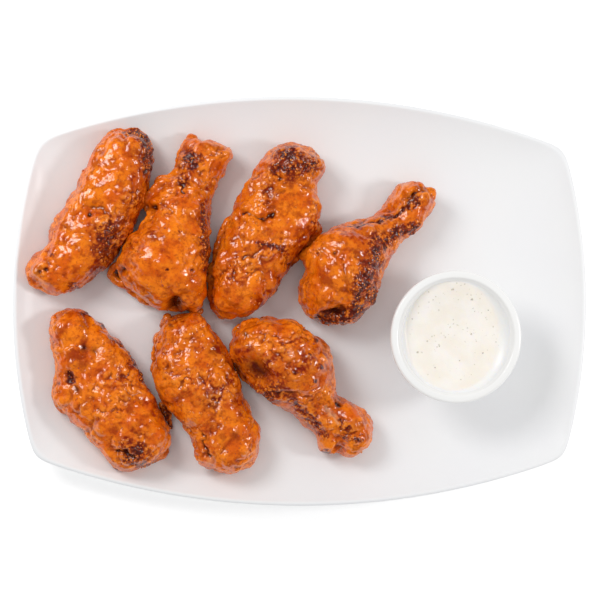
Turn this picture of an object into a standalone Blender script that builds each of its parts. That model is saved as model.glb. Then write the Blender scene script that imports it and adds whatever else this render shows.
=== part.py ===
"""A serving of seven sauced chicken wings on a rimless rectangular plate, with a pot of creamy dip.

Metres, +Z up. The origin is under the middle of the plate, on the table. +X runs along the plate and +Y
across it, so that the pot stands on the +X side.
"""

import math
from collections import namedtuple

import bpy
import bmesh
from mathutils import Vector

MM = 0.001
CLEARANCE = 0.0005  # between a piece and what it lies in or beside
LYING_CLEARANCE = 0.0008  # between a wing and the plate, whose facets differ from each other

# The plate: two pairs of bowed sides that meet in soft corners, and a coupe edge that sweeps up.
PLATE_HALF_LENGTH = 0.143
PLATE_HALF_WIDTH = 0.1017
LONG_SIDE_RADIUS = 0.380
SHORT_SIDE_RADIUS = 0.278
CORNER_SOFTNESS = 0.0022  # how widely two sides blend where they meet, at the lip
CORNER_SOFTENING = 0.35  # what each metre inwards adds to that
PLATE_HEIGHT = 0.018
FLOOR_HEIGHT = 0.0055
SWEEP_WIDTH = 0.040  # from the lip in to the flat floor
SWEEP_POWER = 2.2
PLATE_WALL = 0.0042
LIP_RADIUS = 0.0021
FOOT_INSET = 0.046
FOOT_WIDTH = 0.004
FOOT_DEPTH = 0.0016
PLATE_SIDES = 72
CORNER_CROWDING = 0.75  # how much closer the points of a ring lie near its corners: 0 is even

# The pot and its dip. Heights are over the pot's own base.
POT_CENTRE = (0.0723, -0.0177)
POT_RADIUS = 0.0322
POT_HEIGHT = 0.0325
POT_RIM_DEPTH = 0.0045
POT_MOUTH_RADIUS = 0.0283
POT_BOTTOM_RADIUS = 0.0210
POT_WALL = 0.0032
POT_FLOOR = 0.0045
POT_BEND = 0.0035  # how far the floor curves up into the wall
POT_EDGE = 0.0012  # how far its edges are rounded
POT_SIDES = 40
DIP_DROP = 0.0062  # from the pot's rim down to the dip
DIP_CREEP = 0.0009  # how far the dip climbs where it meets the wall
DIP_CREEP_WIDTH = 0.003

# The wings' facets.
RING_SIDES = 18
RINGS = 22
END_CROWDING = 0.6  # how much closer the rings lie near a wing's ends: 0 is even
TOP_SQUARENESS = 2.15
UNDERSIDE_SQUARENESS = 2.7
WIDEST_AT = 0.42  # the height of a section's widest line, as a share of its own

# A station is a place along a wing: its share of the length, how far the flesh reaches to the left and to
# the right of the line from heel to tip, and how high it stands over the plate's floor, in millimetres.
Station = namedtuple("Station", "share left right top")

# A bump is a fold, knuckle or flap of the crust, or a hollow where it rises by less than nothing. It is
# round in plan: its place on the plate, how far it reaches and how far it rises, in millimetres.
Bump = namedtuple("Bump", "x y reach rise")

# A wing lies from its heel to its tip. Its ends are rounded over heel_round and tip_round. The furrow is
# the valley between the two bones of a flat, and the relief is how uneven the crust is.
Wing = namedtuple("Wing", "name heel tip heel_round tip_round furrow relief stations bumps")

WINGS = (
    Wing(
        name="wing_flat_1", heel=(-129.0, 3.0), tip=(-85.0, 84.0), heel_round=9, tip_round=10,
        furrow=1.6, relief=0.7,
        stations=(
            Station(0.00, 9.5, 6.0, 19.0),
            Station(0.10, 11.0, 13.0, 23.0),
            Station(0.22, 10.0, 18.5, 25.0),
            Station(0.40, 12.0, 22.5, 25.0),
            Station(0.55, 11.5, 23.5, 25.5),
            Station(0.70, 11.0, 20.0, 26.0),
            Station(0.85, 10.5, 17.0, 25.0),
            Station(1.00, 9.5, 13.0, 20.0),
        ),
        bumps=(
            Bump(-105, 41, 5, -3.5),
            Bump(-102, 36, 5, 2),
            Bump(-109, 46, 6, 1.5),
            Bump(-79, 76, 5, 1.5),
            Bump(-132, 13, 6, 1.5),
            Bump(-118, 5, 5, 2),
            Bump(-84, 50, 7, 1.5),
        ),
    ),
    Wing(
        name="wing_drumette_1", heel=(-70.0, -5.5), tip=(-48.5, 79.0), heel_round=9, tip_round=3,
        furrow=0.0, relief=0.8,
        stations=(
            Station(0.00, 12.0, 18.0, 22.0),
            Station(0.09, 20.5, 18.5, 28.0),
            Station(0.18, 26.5, 18.0, 32.0),
            Station(0.33, 25.5, 15.0, 32.0),
            Station(0.46, 20.0, 13.5, 28.0),
            Station(0.58, 19.5, 10.2, 23.0),
            Station(0.67, 18.0, 9.2, 20.0),
            Station(0.76, 14.0, 9.8, 19.0),
            Station(0.90, 11.2, 12.3, 20.0),
            Station(1.00, 10.5, 12.5, 18.0),
        ),
        bumps=(
            Bump(-94, 14, 5, 4),
            Bump(-77, 51, 6, 2.5),
            Bump(-80, 44, 4, -3),
            Bump(-63, -3, 6, -4),
            Bump(-72, 17, 10, 2),
            Bump(-58, 80, 4, 2),
            Bump(-40, 73, 4, 2),
        ),
    ),
    Wing(
        name="wing_flat_2", heel=(-37.0, -9.5), tip=(-4.0, 79.0), heel_round=10, tip_round=8,
        furrow=1.8, relief=0.8,
        stations=(
            Station(0.00, 11.5, 5.0, 19.0),
            Station(0.12, 13.5, 12.5, 23.0),
            Station(0.33, 18.0, 16.5, 25.0),
            Station(0.50, 18.0, 22.0, 25.5),
            Station(0.60, 17.7, 24.0, 25.0),
            Station(0.72, 16.0, 21.0, 25.0),
            Station(0.83, 12.0, 16.3, 26.0),
            Station(0.92, 8.5, 16.5, 25.0),
            Station(1.00, 4.0, 13.0, 20.0),
        ),
        bumps=(
            Bump(-5, 72, 7, 2),
            Bump(-14, 66, 6, 1.5),
            Bump(6, 64, 6, 1.5),
            Bump(-15, 46, 8, -2),
            Bump(3, 45, 6, 2),
            Bump(-24, 27, 8, 1.2),
            Bump(-32, 8, 8, 1),
        ),
    ),
    Wing(
        name="wing_drumette_2", heel=(6.0, -11.0), tip=(60.5, 58.5), heel_round=9, tip_round=7,
        furrow=0.0, relief=0.9,
        stations=(
            Station(0.00, 15.0, 9.0, 21.0),
            Station(0.12, 18.5, 12.0, 27.0),
            Station(0.27, 24.0, 15.0, 31.0),
            Station(0.43, 23.0, 11.0, 30.0),
            Station(0.52, 19.5, 9.3, 27.0),
            Station(0.61, 14.0, 8.6, 22.0),
            Station(0.73, 9.2, 9.7, 18.0),
            Station(0.86, 9.4, 9.4, 19.0),
            Station(1.00, 7.0, 9.0, 18.0),
        ),
        bumps=(
            Bump(10, 28, 7, 3),
            Bump(0, 24, 4, 3),
            Bump(12, 36, 5, 2),
            Bump(23, -8, 5, 3),
            Bump(3, -7, 5, 1.5),
            Bump(13, -5, 5, -4.5),
            Bump(34, 5, 6, 2),
            Bump(49, 56, 5, 2),
            Bump(64, 51, 5, 2),
            Bump(57, 39, 5, 3),
        ),
    ),
    Wing(
        name="wing_flat_3", heel=(-117.5, -4.5), tip=(-80.0, -83.5), heel_round=8, tip_round=8,
        furrow=1.6, relief=0.7,
        stations=(
            Station(0.00, 6.0, 10.0, 18.0),
            Station(0.10, 8.5, 12.0, 22.0),
            Station(0.25, 15.0, 16.0, 24.0),
            Station(0.42, 19.0, 22.0, 25.0),
            Station(0.52, 19.5, 22.0, 25.0),
            Station(0.64, 20.3, 18.5, 25.0),
            Station(0.80, 20.4, 13.3, 26.0),
            Station(0.92, 18.5, 10.5, 25.0),
            Station(1.00, 15.5, 7.0, 20.0),
        ),
        bumps=(
            Bump(-121, -12, 7, 1.5),
            Bump(-114, -40, 5, -3.5),
            Bump(-120, -50, 6, 2),
            Bump(-90, -80, 7, 2),
            Bump(-87, -76, 4, -3),
            Bump(-76, -78, 5, 1),
            Bump(-102, -24, 8, -1.5),
            Bump(-72, -68, 8, 1),
        ),
    ),
    Wing(
        name="wing_flat_4", heel=(-61.5, -7.5), tip=(-34.5, -86.0), heel_round=6, tip_round=8,
        furrow=1.6, relief=0.7,
        stations=(
            Station(0.00, 9.0, 10.0, 18.0),
            Station(0.10, 11.0, 13.5, 22.0),
            Station(0.25, 15.6, 21.0, 25.0),
            Station(0.38, 16.6, 23.5, 26.0),
            Station(0.52, 16.8, 20.0, 26.0),
            Station(0.67, 17.5, 15.2, 25.0),
            Station(0.80, 18.3, 13.4, 25.0),
            Station(0.92, 15.5, 10.0, 23.0),
            Station(1.00, 11.0, 5.0, 18.0),
        ),
        bumps=(
            Bump(-46, -25, 7, -1.8),
            Bump(-36, -84, 5, 2),
            Bump(-25, -64, 7, 1.5),
            Bump(-46, -49, 6, -1.5),
            Bump(-60, -40, 8, 1.2),
            Bump(-50, -77, 6, 1.5),
            Bump(-62, -13, 6, 1),
        ),
    ),
    Wing(
        name="wing_drumette_3", heel=(-35.0, -16.0), tip=(31.5, -73.5), heel_round=9, tip_round=7,
        furrow=0.0, relief=0.9,
        stations=(
            Station(0.00, 12.0, 8.5, 21.0),
            Station(0.10, 17.5, 11.2, 27.0),
            Station(0.21, 23.5, 14.0, 31.0),
            Station(0.34, 25.0, 14.3, 32.0),
            Station(0.44, 24.5, 13.6, 30.0),
            Station(0.53, 20.5, 11.7, 26.0),
            Station(0.61, 14.5, 11.0, 22.0),
            Station(0.68, 10.0, 11.3, 20.0),
            Station(0.77, 12.0, 12.3, 21.0),
            Station(0.88, 11.3, 12.0, 20.0),
            Station(1.00, 7.5, 7.0, 16.0),
        ),
        bumps=(
            Bump(-24, -35, 6, -4),
            Bump(-14, -34, 6, 1.5),
            Bump(5, -33, 8, 2),
            Bump(13, -46, 5, 2),
            Bump(11, -73, 5, 3.5),
            Bump(17, -69, 4, -4),
            Bump(26, -75, 4, 2),
            Bump(29, -58, 6, 2.5),
            Bump(14, -55, 5, -2),
        ),
    ),
)


def clear_scene():
    """Removes what the scene holds."""
    for thing in list(bpy.data.objects):
        bpy.data.objects.remove(thing, do_unlink=True)
    for mesh in list(bpy.data.meshes):
        bpy.data.meshes.remove(mesh)


def make_material(name, colour, roughness):
    """A plain finish: a colour in linear light and how dull it is."""
    material = bpy.data.materials.new(name)
    material.use_nodes = True
    shader = material.node_tree.nodes["Principled BSDF"]
    shader.inputs["Base Color"].default_value = (*colour, 1.0)
    shader.inputs["Roughness"].default_value = roughness
    shader.inputs["Metallic"].default_value = 0.0
    return material


def soft_max(first, second, softness):
    """The larger of two lengths, with the change from one to the other rounded off."""
    high = max(first, second)
    low = min(first, second)
    return high + softness * math.log1p(math.exp((low - high) / softness))


def distance_outside(x, y, softness):
    """How far a point lies outside the plate's outline, in plan. It is negative inside."""
    long_side = math.hypot(x, abs(y) - (PLATE_HALF_WIDTH - LONG_SIDE_RADIUS)) - LONG_SIDE_RADIUS
    short_side = math.hypot(abs(x) - (PLATE_HALF_LENGTH - SHORT_SIDE_RADIUS), y) - SHORT_SIDE_RADIUS
    return soft_max(long_side, short_side, softness)


def softness_at(inset):
    """How widely the corners blend, this far in from the lip."""
    return CORNER_SOFTNESS + CORNER_SOFTENING * inset


def outline_point(angle, inset):
    """The point of the ring that lies inset from the plate's edge, in the direction of angle."""
    x = PLATE_HALF_LENGTH * math.cos(angle)
    y = PLATE_HALF_WIDTH * math.sin(angle)
    near, far = 0.0, 1.5
    for _ in range(40):
        middle = (near + far) / 2
        if distance_outside(x * middle, y * middle, softness_at(inset)) < -inset:
            near = middle
        else:
            far = middle
    return x * near, y * near


def inset_of(x, y):
    """How far in from the plate's edge a point of its floor lies."""
    inset = max(-distance_outside(x, y, CORNER_SOFTNESS), 0.0)
    for _ in range(3):
        inset = max(-distance_outside(x, y, softness_at(inset)), 0.0)
    return inset


def plate_top(inset):
    """The height of the plate's upper face, this far in from its edge."""
    rise = max(1 - inset / SWEEP_WIDTH, 0.0)
    return FLOOR_HEIGHT + (PLATE_HEIGHT - FLOOR_HEIGHT) * rise ** SWEEP_POWER


def plate_underside(inset):
    """The height of the plate's lower face, outside its foot."""
    rise = max(1 - inset / SWEEP_WIDTH, 0.0)
    slope = SWEEP_POWER * (PLATE_HEIGHT - FLOOR_HEIGHT) / SWEEP_WIDTH * rise ** (SWEEP_POWER - 1)
    return plate_top(inset) - PLATE_WALL * math.hypot(1, slope)


def plate_profile():
    """The plate's section as (inset, height), from the middle of its underside round the lip to its floor."""
    foot_inner = FOOT_INSET + FOOT_WIDTH / 2
    foot_outer = FOOT_INSET - FOOT_WIDTH / 2
    profile = [
        (foot_inner + FOOT_DEPTH / 2, FOOT_DEPTH),
        (foot_inner, 0.0),
        (foot_outer, 0.0),
        (foot_outer - FOOT_DEPTH, plate_underside(foot_outer - FOOT_DEPTH)),
    ]
    profile += [(inset, plate_underside(inset)) for inset in (0.031, 0.021, 0.012, 0.005)]
    for turn in (-35, 15, 60, 105):
        across = LIP_RADIUS * (1 - math.cos(math.radians(turn)))
        up = LIP_RADIUS * (math.sin(math.radians(turn)) - 1)
        profile.append((across, PLATE_HEIGHT + up))
    profile += [(inset, plate_top(inset)) for inset in (0.006, 0.012, 0.018, 0.025, 0.032, SWEEP_WIDTH)]
    return profile


def loft(name, rings, material, collection):
    """A closed mesh over rings of equally many points. A ring of one point is a pole, and others are capped."""
    mesh = bmesh.new()
    rows = [[mesh.verts.new(point) for point in ring] for ring in rings]
    for lower, upper in zip(rows, rows[1:]):
        count = max(len(lower), len(upper))
        for i in range(count):
            j = (i + 1) % count
            near = [lower[i % len(lower)], lower[j % len(lower)]]
            far = [upper[j % len(upper)], upper[i % len(upper)]]
            mesh.faces.new(list(dict.fromkeys(near + far)))
    for row in (rows[0], rows[-1]):
        if len(row) > 1:
            mesh.faces.new(row)
    bmesh.ops.recalc_face_normals(mesh, faces=mesh.faces)
    return add_piece(name, mesh, material, collection)


def add_piece(name, mesh, material, collection):
    """Makes a smooth-shaded object of a bmesh, in this finish and collection."""
    data = bpy.data.meshes.new(name)
    mesh.to_mesh(data)
    mesh.free()
    data.shade_smooth()
    data.set_sharp_from_angle(angle=math.radians(50))
    data.materials.append(material)
    piece = bpy.data.objects.new(name, data)
    collection.objects.link(piece)
    return piece


def make_plate(material, collection):
    """The plate: rings of its bowed outline, from the underside round the lip to the floor."""
    angles = []
    for i in range(PLATE_SIDES):
        even = 2 * math.pi * i / PLATE_SIDES
        angles.append(even + CORNER_CROWDING * math.sin(4 * even) / 4)
    rings = []
    for inset, height in plate_profile():
        rings.append([(*outline_point(angle, inset), height) for angle in angles])
    return loft("plate", rings, material, collection)


def turn(name, profile, place, material, collection):
    """A turned piece: its profile of (radius, height) spun by a Screw modifier, at place."""
    mesh = bmesh.new()
    points = [mesh.verts.new((radius, 0, height)) for radius, height in profile]
    for first, second in zip(points, points[1:]):
        mesh.edges.new((first, second))
    piece = add_piece(name, mesh, material, collection)
    piece.location = place
    screw = piece.modifiers.new("Turn", "SCREW")
    screw.steps = POT_SIDES
    screw.render_steps = POT_SIDES
    screw.use_merge_vertices = True
    screw.merge_threshold = 0.00001
    screw.use_smooth_shade = True
    return piece


def pot_wall(height):
    """The inner radius of the pot at this height over its base: it flares towards the mouth."""
    rise = (height - POT_FLOOR) / (POT_HEIGHT - POT_FLOOR)
    return POT_BOTTOM_RADIUS + (POT_MOUTH_RADIUS - POT_BOTTOM_RADIUS) * rise ** 2


def make_pot(material, collection):
    """The pot: a little cup that flares upwards, with a thick flat rim."""
    bottom_bend = POT_FLOOR + POT_BEND
    steps = [bottom_bend + (POT_HEIGHT - POT_EDGE - bottom_bend) * share for share in (0, 0.35, 0.7)]
    profile = [
        (0.0, POT_FLOOR),
        (POT_BOTTOM_RADIUS - POT_BEND, POT_FLOOR),
    ]
    profile += [(pot_wall(height), height) for height in steps]
    profile += [
        (POT_MOUTH_RADIUS, POT_HEIGHT - POT_EDGE),
        (POT_MOUTH_RADIUS + POT_EDGE, POT_HEIGHT),
        (POT_RADIUS - POT_EDGE, POT_HEIGHT),
        (POT_RADIUS, POT_HEIGHT - POT_EDGE),
        (POT_RADIUS, POT_HEIGHT - POT_RIM_DEPTH),
    ]
    profile += [(pot_wall(height) + POT_WALL, height - POT_EDGE) for height in reversed(steps)]
    profile += [
        (POT_BOTTOM_RADIUS + POT_WALL - POT_EDGE, 0.0),
        (0.0, 0.0),
    ]
    place = (*POT_CENTRE, FLOOR_HEIGHT + CLEARANCE)
    return turn("ramekin", profile, place, material, collection)


def make_dip(material, collection):
    """The dip: it fills the pot up to its level, and creeps a little up the wall."""
    level = POT_HEIGHT - DIP_DROP
    bottom_bend = POT_FLOOR + POT_BEND
    steps = [bottom_bend + (level + DIP_CREEP - bottom_bend) * share for share in (1, 0.66, 0.33, 0)]
    profile = [
        (0.0, level),
        (pot_wall(level) - DIP_CREEP_WIDTH, level),
    ]
    profile += [(pot_wall(height) - CLEARANCE, height) for height in steps]
    profile += [
        (POT_BOTTOM_RADIUS - POT_BEND - CLEARANCE, POT_FLOOR + CLEARANCE),
        (0.0, POT_FLOOR + CLEARANCE),
    ]
    place = (*POT_CENTRE, FLOOR_HEIGHT + CLEARANCE)
    return turn("dip", profile, place, material, collection)


def between(stations, share):
    """Left, right and top at this share of the length, on a smooth curve through the stations."""
    shares = [station.share for station in stations]
    last = len(stations) - 2
    i = min(max(sum(1 for value in shares if value <= share) - 1, 0), last)
    width = shares[i + 1] - shares[i]
    t = (share - shares[i]) / width
    values = []
    for field in (1, 2, 3):
        steps = [
            (stations[k + 1][field] - stations[k][field]) / (shares[k + 1] - shares[k])
            for k in range(last + 1)
        ]
        start = (steps[max(i - 1, 0)] + steps[i]) / 2 * width
        end = (steps[i] + steps[min(i + 1, last)]) / 2 * width
        values.append(
            (2 * t**3 - 3 * t**2 + 1) * stations[i][field]
            + (t**3 - 2 * t**2 + t) * start
            + (-2 * t**3 + 3 * t**2) * stations[i + 1][field]
            + (t**3 - t**2) * end
        )
    return values


def rounding(along, length, heel_round, tip_round):
    """How full a section is: 1, but for the rounded ends, where it shrinks like a quarter of an ellipse."""
    full = 1.0
    for gap, reach in ((along, heel_round), (length - along, tip_round)):
        if gap < reach:
            full *= math.sqrt(max(1 - (1 - gap / reach) ** 2, 0.0))
    return full


def crust_unevenness(point, seed):
    """A gentle, repeatable wobble of a wing's surface, between about -1 and 1."""
    x, y, z = (value * 100 for value in point)
    return (
        math.sin(2.3 * x + 1.7 * seed) * math.cos(1.9 * y - seed)
        + 0.6 * math.sin(4.1 * y + 2.9 * z + seed)
        + 0.4 * math.cos(5.3 * x - 3.7 * z + 2 * seed)
    ) / 2


def bumps_at(wing, point):
    """How far a wing's bumps and hollows raise it at this point, in millimetres."""
    rise = 0.0
    for bump in wing.bumps:
        gap = math.hypot(point.x / MM - bump.x, point.y / MM - bump.y)
        rise += bump.rise * math.exp(-((gap / bump.reach) ** 2))
    return rise


def wing_rings(wing, seed):
    """The rings of a wing, from the heel's pole to the tip's, lying on the plate."""
    heel = Vector((*wing.heel, 0)) * MM
    tip = Vector((*wing.tip, 0)) * MM
    length = (tip - heel).length
    ahead = (tip - heel) / length
    sideways = Vector((-ahead.y, ahead.x, 0))
    rings = []
    for i in range(RINGS + 2):
        even = i / (RINGS + 1)
        crowded = (1 - math.cos(math.pi * even)) / 2
        share = even + (crowded - even) * END_CROWDING
        left, right, top = (value * MM for value in between(wing.stations, share))
        full = rounding(share * length, length, wing.heel_round * MM, wing.tip_round * MM)
        half_width = (left + right) / 2
        middle = heel + ahead * share * length + sideways * (left - half_width)
        widest = FLOOR_HEIGHT + top * WIDEST_AT
        if i in (0, RINGS + 1):
            rings.append([middle + Vector((0, 0, lifted(middle, widest)))])
            continue
        ring = []
        for k in range(RING_SIDES):
            turned = 2 * math.pi * k / RING_SIDES
            across = math.cos(turned)
            up = math.sin(turned)
            square = TOP_SQUARENESS if up >= 0 else UNDERSIDE_SQUARENESS
            across = math.copysign(abs(across) ** (2 / square), across)
            up = math.copysign(abs(up) ** (2 / square), up)
            reach = top * (1 - WIDEST_AT) if up > 0 else top * WIDEST_AT
            point = middle + sideways * half_width * full * across
            height = widest + reach * full * up
            valley = math.exp(-((across - 0.1) / 0.28) ** 2) * math.sin(math.pi * share) ** 2
            height -= wing.furrow * MM * valley * max(up, 0)
            wobble = crust_unevenness((point.x, point.y, height), seed) * wing.relief * MM * full
            point += sideways * across * wobble * 0.6
            height += max(up, 0) * wobble
            swell = bumps_at(wing, point) * MM * min(max(up + 0.7, 0), 1)
            out = Vector((0, 0, height - widest)) + sideways * half_width * full * across
            point += sideways * out.normalized().dot(sideways) * swell
            height += out.normalized().z * swell
            point.z = lifted(point, height)
            ring.append(point)
        rings.append(ring)
    return rings


def lifted(point, height):
    """This height, or the plate's upper face and the clearance where that is higher."""
    return max(height, plate_top(inset_of(point.x, point.y)) + LYING_CLEARANCE)


def main():
    clear_scene()
    collection = bpy.data.collections.new("chicken_wings_serving")
    bpy.context.scene.collection.children.link(collection)
    porcelain = make_material("white_porcelain", (0.82, 0.80, 0.81), 0.18)
    cream = make_material("cream_dip", (0.87, 0.82, 0.71), 0.45)
    crust = make_material("sauced_crust", (0.56, 0.13, 0.018), 0.38)
    make_plate(porcelain, collection)
    make_pot(porcelain, collection)
    make_dip(cream, collection)
    for seed, wing in enumerate(WINGS, 1):
        loft(wing.name, wing_rings(wing, seed), crust, collection)


main()
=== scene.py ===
"""Looks of a serving of seven sauced chicken wings with a pot of dip, on one rectangular coupe plate.

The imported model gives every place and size. Each wing is carved from its own solid: flaps and knuckles
are grown onto it, it is remeshed finely, and folds, hollows and batter are raised on it by point moves.
"""

from __future__ import annotations

import logging
import math
from dataclasses import dataclass, field
from enum import Enum
from typing import Any, Callable, Iterable, Mapping, Optional, Sequence, Union

import bmesh
import bpy
import numpy as np
from mathutils import Matrix, Vector, noise
from mathutils.bvhtree import BVHTree


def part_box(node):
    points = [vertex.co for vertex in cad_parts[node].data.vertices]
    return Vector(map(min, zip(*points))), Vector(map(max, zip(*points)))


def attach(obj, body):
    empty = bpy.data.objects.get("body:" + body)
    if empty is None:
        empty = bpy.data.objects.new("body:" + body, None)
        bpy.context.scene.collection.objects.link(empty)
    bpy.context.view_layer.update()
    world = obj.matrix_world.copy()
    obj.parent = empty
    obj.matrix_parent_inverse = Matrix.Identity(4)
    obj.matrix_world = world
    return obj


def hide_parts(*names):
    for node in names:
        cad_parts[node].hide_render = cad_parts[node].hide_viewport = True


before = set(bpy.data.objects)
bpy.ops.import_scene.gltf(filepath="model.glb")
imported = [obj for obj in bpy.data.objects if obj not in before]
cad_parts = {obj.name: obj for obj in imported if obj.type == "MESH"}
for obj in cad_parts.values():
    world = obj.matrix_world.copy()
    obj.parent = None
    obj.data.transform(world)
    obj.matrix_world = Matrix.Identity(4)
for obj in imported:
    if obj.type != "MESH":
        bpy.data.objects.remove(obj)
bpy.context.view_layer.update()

LOG = logging.getLogger("chicken_wings_serving")
BODY = "root"
MM = 0.001
BUMP_HEIGHT = 0.0002
FAR = 1e6
CREAM_DROP = 0.0062

Colour = tuple[float, float, float, float]
Socket = bpy.types.NodeSocket
Value = Union[float, Sequence[float], Socket]
Plan = tuple[float, float]
Place = tuple[float, float, float]


# ---------------------------------------------------------------- small tools


def srgb(red: int, green: int, blue: int) -> Colour:
    """Turn a colour as a colour picker shows it into linear light.

    Args:
        red: The red part, from 0 to 255.
        green: The green part, from 0 to 255.
        blue: The blue part, from 0 to 255.

    Returns:
        The colour in linear light, with full alpha.
    """
    parts = [part / 255 for part in (red, green, blue)]
    linear = [part / 12.92 if part <= 0.04045 else ((part + 0.055) / 1.055) ** 2.4 for part in parts]
    return (linear[0], linear[1], linear[2], 1.0)


def ease(low: float, high: float, values: np.ndarray) -> np.ndarray:
    """Rise smoothly from 0 to 1 as values go from low to high.

    Args:
        low: Where the rise starts.
        high: Where it ends.
        values: The values to map.

    Returns:
        An array from 0 to 1.
    """
    share = np.clip((values - low) / (high - low), 0.0, 1.0)
    return share * share * (3 - 2 * share)


def sample(function: Callable[[Vector], float], points: np.ndarray, grain: float, shift: float) -> np.ndarray:
    """Read a noise at many points.

    Args:
        function: A noise of one point.
        points: Points in millimetres.
        grain: The size of the noise's features, in millimetres.
        shift: Moves the noise, so that no two wings share it.

    Returns:
        One value for each point.
    """
    return np.array([function(Vector(point)) for point in (points / grain + shift).tolist()])


def perlin(point: Vector) -> float:
    """Smooth noise between about -1 and 1."""
    return noise.noise(point, noise_basis="PERLIN_NEW")


def lumps(point: Vector) -> float:
    """Rounded lumps with narrow valleys between them, from about -0.6 to 1."""
    return 2.6 * abs(noise.noise(point, noise_basis="PERLIN_NEW")) - 0.6


def pebbles(point: Vector) -> float:
    """Small rounded pebbles that touch each other: 1 on top, and below 0 between them."""
    nearest = noise.voronoi(point)[0][0]
    return 1 - (nearest / 0.62) ** 2


def rough(point: Vector) -> float:
    """Uneven noise of three sizes at once."""
    return noise.fractal(point, 0.8, 2.1, 3, noise_basis="PERLIN_NEW")


def add_object(name: str, mesh: bpy.types.Mesh) -> bpy.types.Object:
    """Put a mesh into the scene as a smooth-shaded object."""
    mesh.shade_smooth()
    made = bpy.data.objects.new(name, mesh)
    bpy.context.scene.collection.objects.link(made)
    return made


def loft(name: str, rings: Sequence[np.ndarray]) -> bpy.types.Object:
    """Join rings of equally many points, and close both ends to the middle of the last ring there.

    Args:
        name: The object's name.
        rings: One array of points for each ring, going round the same way.

    Returns:
        A closed, smooth-shaded mesh object.
    """
    count = len(rings[0])
    points = np.concatenate([*rings, rings[0].mean(axis=0)[None], rings[-1].mean(axis=0)[None]])
    first_pole, last_pole = len(points) - 2, len(points) - 1
    faces = []
    for i in range(count):
        j = (i + 1) % count
        for row in range(len(rings) - 1):
            low, high = row * count, (row + 1) * count
            faces.append((low + i, low + j, high + j, high + i))
        faces.append((first_pole, j, i))
        last = (len(rings) - 1) * count
        faces.append((last_pole, last + i, last + j))
    mesh = bpy.data.meshes.new(name)
    mesh.from_pydata(points.tolist(), [], faces)
    shell = bmesh.new()
    shell.from_mesh(mesh)
    bmesh.ops.recalc_face_normals(shell, faces=shell.faces)
    shell.to_mesh(mesh)
    shell.free()
    return add_object(name, mesh)


def present(piece: bpy.types.Object, slot: str, *nodes: str) -> None:
    """Ride a finished piece on the body, and let it stand for its nodes.

    Args:
        piece: The finished piece.
        slot: Not used.
        *nodes: The nodes that it replaces.
    """
    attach(piece, BODY)
    if nodes:
        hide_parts(*nodes)
    stands_for = ", ".join(nodes) or "no node"
    LOG.info("%s: %d points, stands for %s", piece.name, len(piece.data.vertices), stands_for)


# ---------------------------------------------------------------- materials


class Wiring:
    """A shader tree that is being wired up."""

    def __init__(self, tree: bpy.types.NodeTree) -> None:
        """Start on an existing tree."""
        self.tree = tree

    def node(
        self, kind: str, values: Optional[Mapping[Any, Value]] = None, **settings: Any
    ) -> bpy.types.Node:
        """Add a node.

        Args:
            kind: The node's type, such as ShaderNodeMath.
            values: What its inputs get, by name or number: a socket to link, or a plain value.
            **settings: The node's own settings.

        Returns:
            The new node.
        """
        made = self.tree.nodes.new(kind)
        for name, setting in settings.items():
            setattr(made, name, setting)
        self.feed(made, values or {})
        return made

    def feed(self, node: bpy.types.Node, values: Mapping[Any, Value]) -> None:
        """Give a node's inputs their values, by name or number: a socket is linked, a plain value is set."""
        for key, value in values.items():
            if isinstance(value, bpy.types.NodeSocket):
                self.tree.links.new(value, node.inputs[key])
            else:
                node.inputs[key].default_value = value

    def blend(self, share: Value, first: Value, second: Value) -> Socket:
        """Mix two colours: 0 gives the first, 1 the second."""
        return self.node("ShaderNodeMix", {0: share, 6: first, 7: second}, data_type="RGBA").outputs[2]

    def between(self, share: Value, first: Value, second: Value) -> Socket:
        """Mix two numbers: 0 gives the first, 1 the second."""
        return self.node("ShaderNodeMix", {0: share, 2: first, 3: second}, data_type="FLOAT").outputs[0]

    def sum(self, first: Value, second: Value) -> Socket:
        """Add two numbers, kept between 0 and 1."""
        return self.node("ShaderNodeMath", {0: first, 1: second}, operation="ADD", use_clamp=True).outputs[0]

    def times(self, first: Value, second: Value) -> Socket:
        """Multiply two numbers."""
        return self.node("ShaderNodeMath", {0: first, 1: second}, operation="MULTIPLY").outputs[0]

    def step(self, value: Value, low: float, high: float) -> Socket:
        """Rise smoothly from 0 to 1 as a value goes from low to high."""
        limits = {0: value, 1: low, 2: high, 3: 0.0, 4: 1.0}
        return self.node("ShaderNodeMapRange", limits, interpolation_type="SMOOTHSTEP").outputs[0]

    def grains(self, vector: Socket, scale: Value, detail: float = 2.0, roughness: float = 0.5) -> Socket:
        """Smooth noise from 0 to 1, this many features to the metre."""
        values = {"Vector": vector, "Scale": scale, "Detail": detail, "Roughness": roughness}
        return self.node("ShaderNodeTexNoise", values).outputs[0]

    def bump(self, height: Value, strength: float, distance: float) -> Socket:
        """A normal that leans with a height, of this strength and this many metres high."""
        values = {"Height": height, "Strength": strength, "Distance": distance}
        return self.node("ShaderNodeBump", values).outputs[0]

    def cells(self, vector: Socket, scale: Value) -> Socket:
        """The distance to the nearest of scattered points, this many to the metre."""
        return self.node("ShaderNodeTexVoronoi", {"Vector": vector, "Scale": scale}).outputs["Distance"]

    def group(self, group: bpy.types.NodeTree, values: Mapping[str, Value]) -> bpy.types.Node:
        """Place a shared group, with its own values."""
        made = self.tree.nodes.new("ShaderNodeGroup")
        made.node_tree = group
        self.feed(made, values)
        return made


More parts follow.
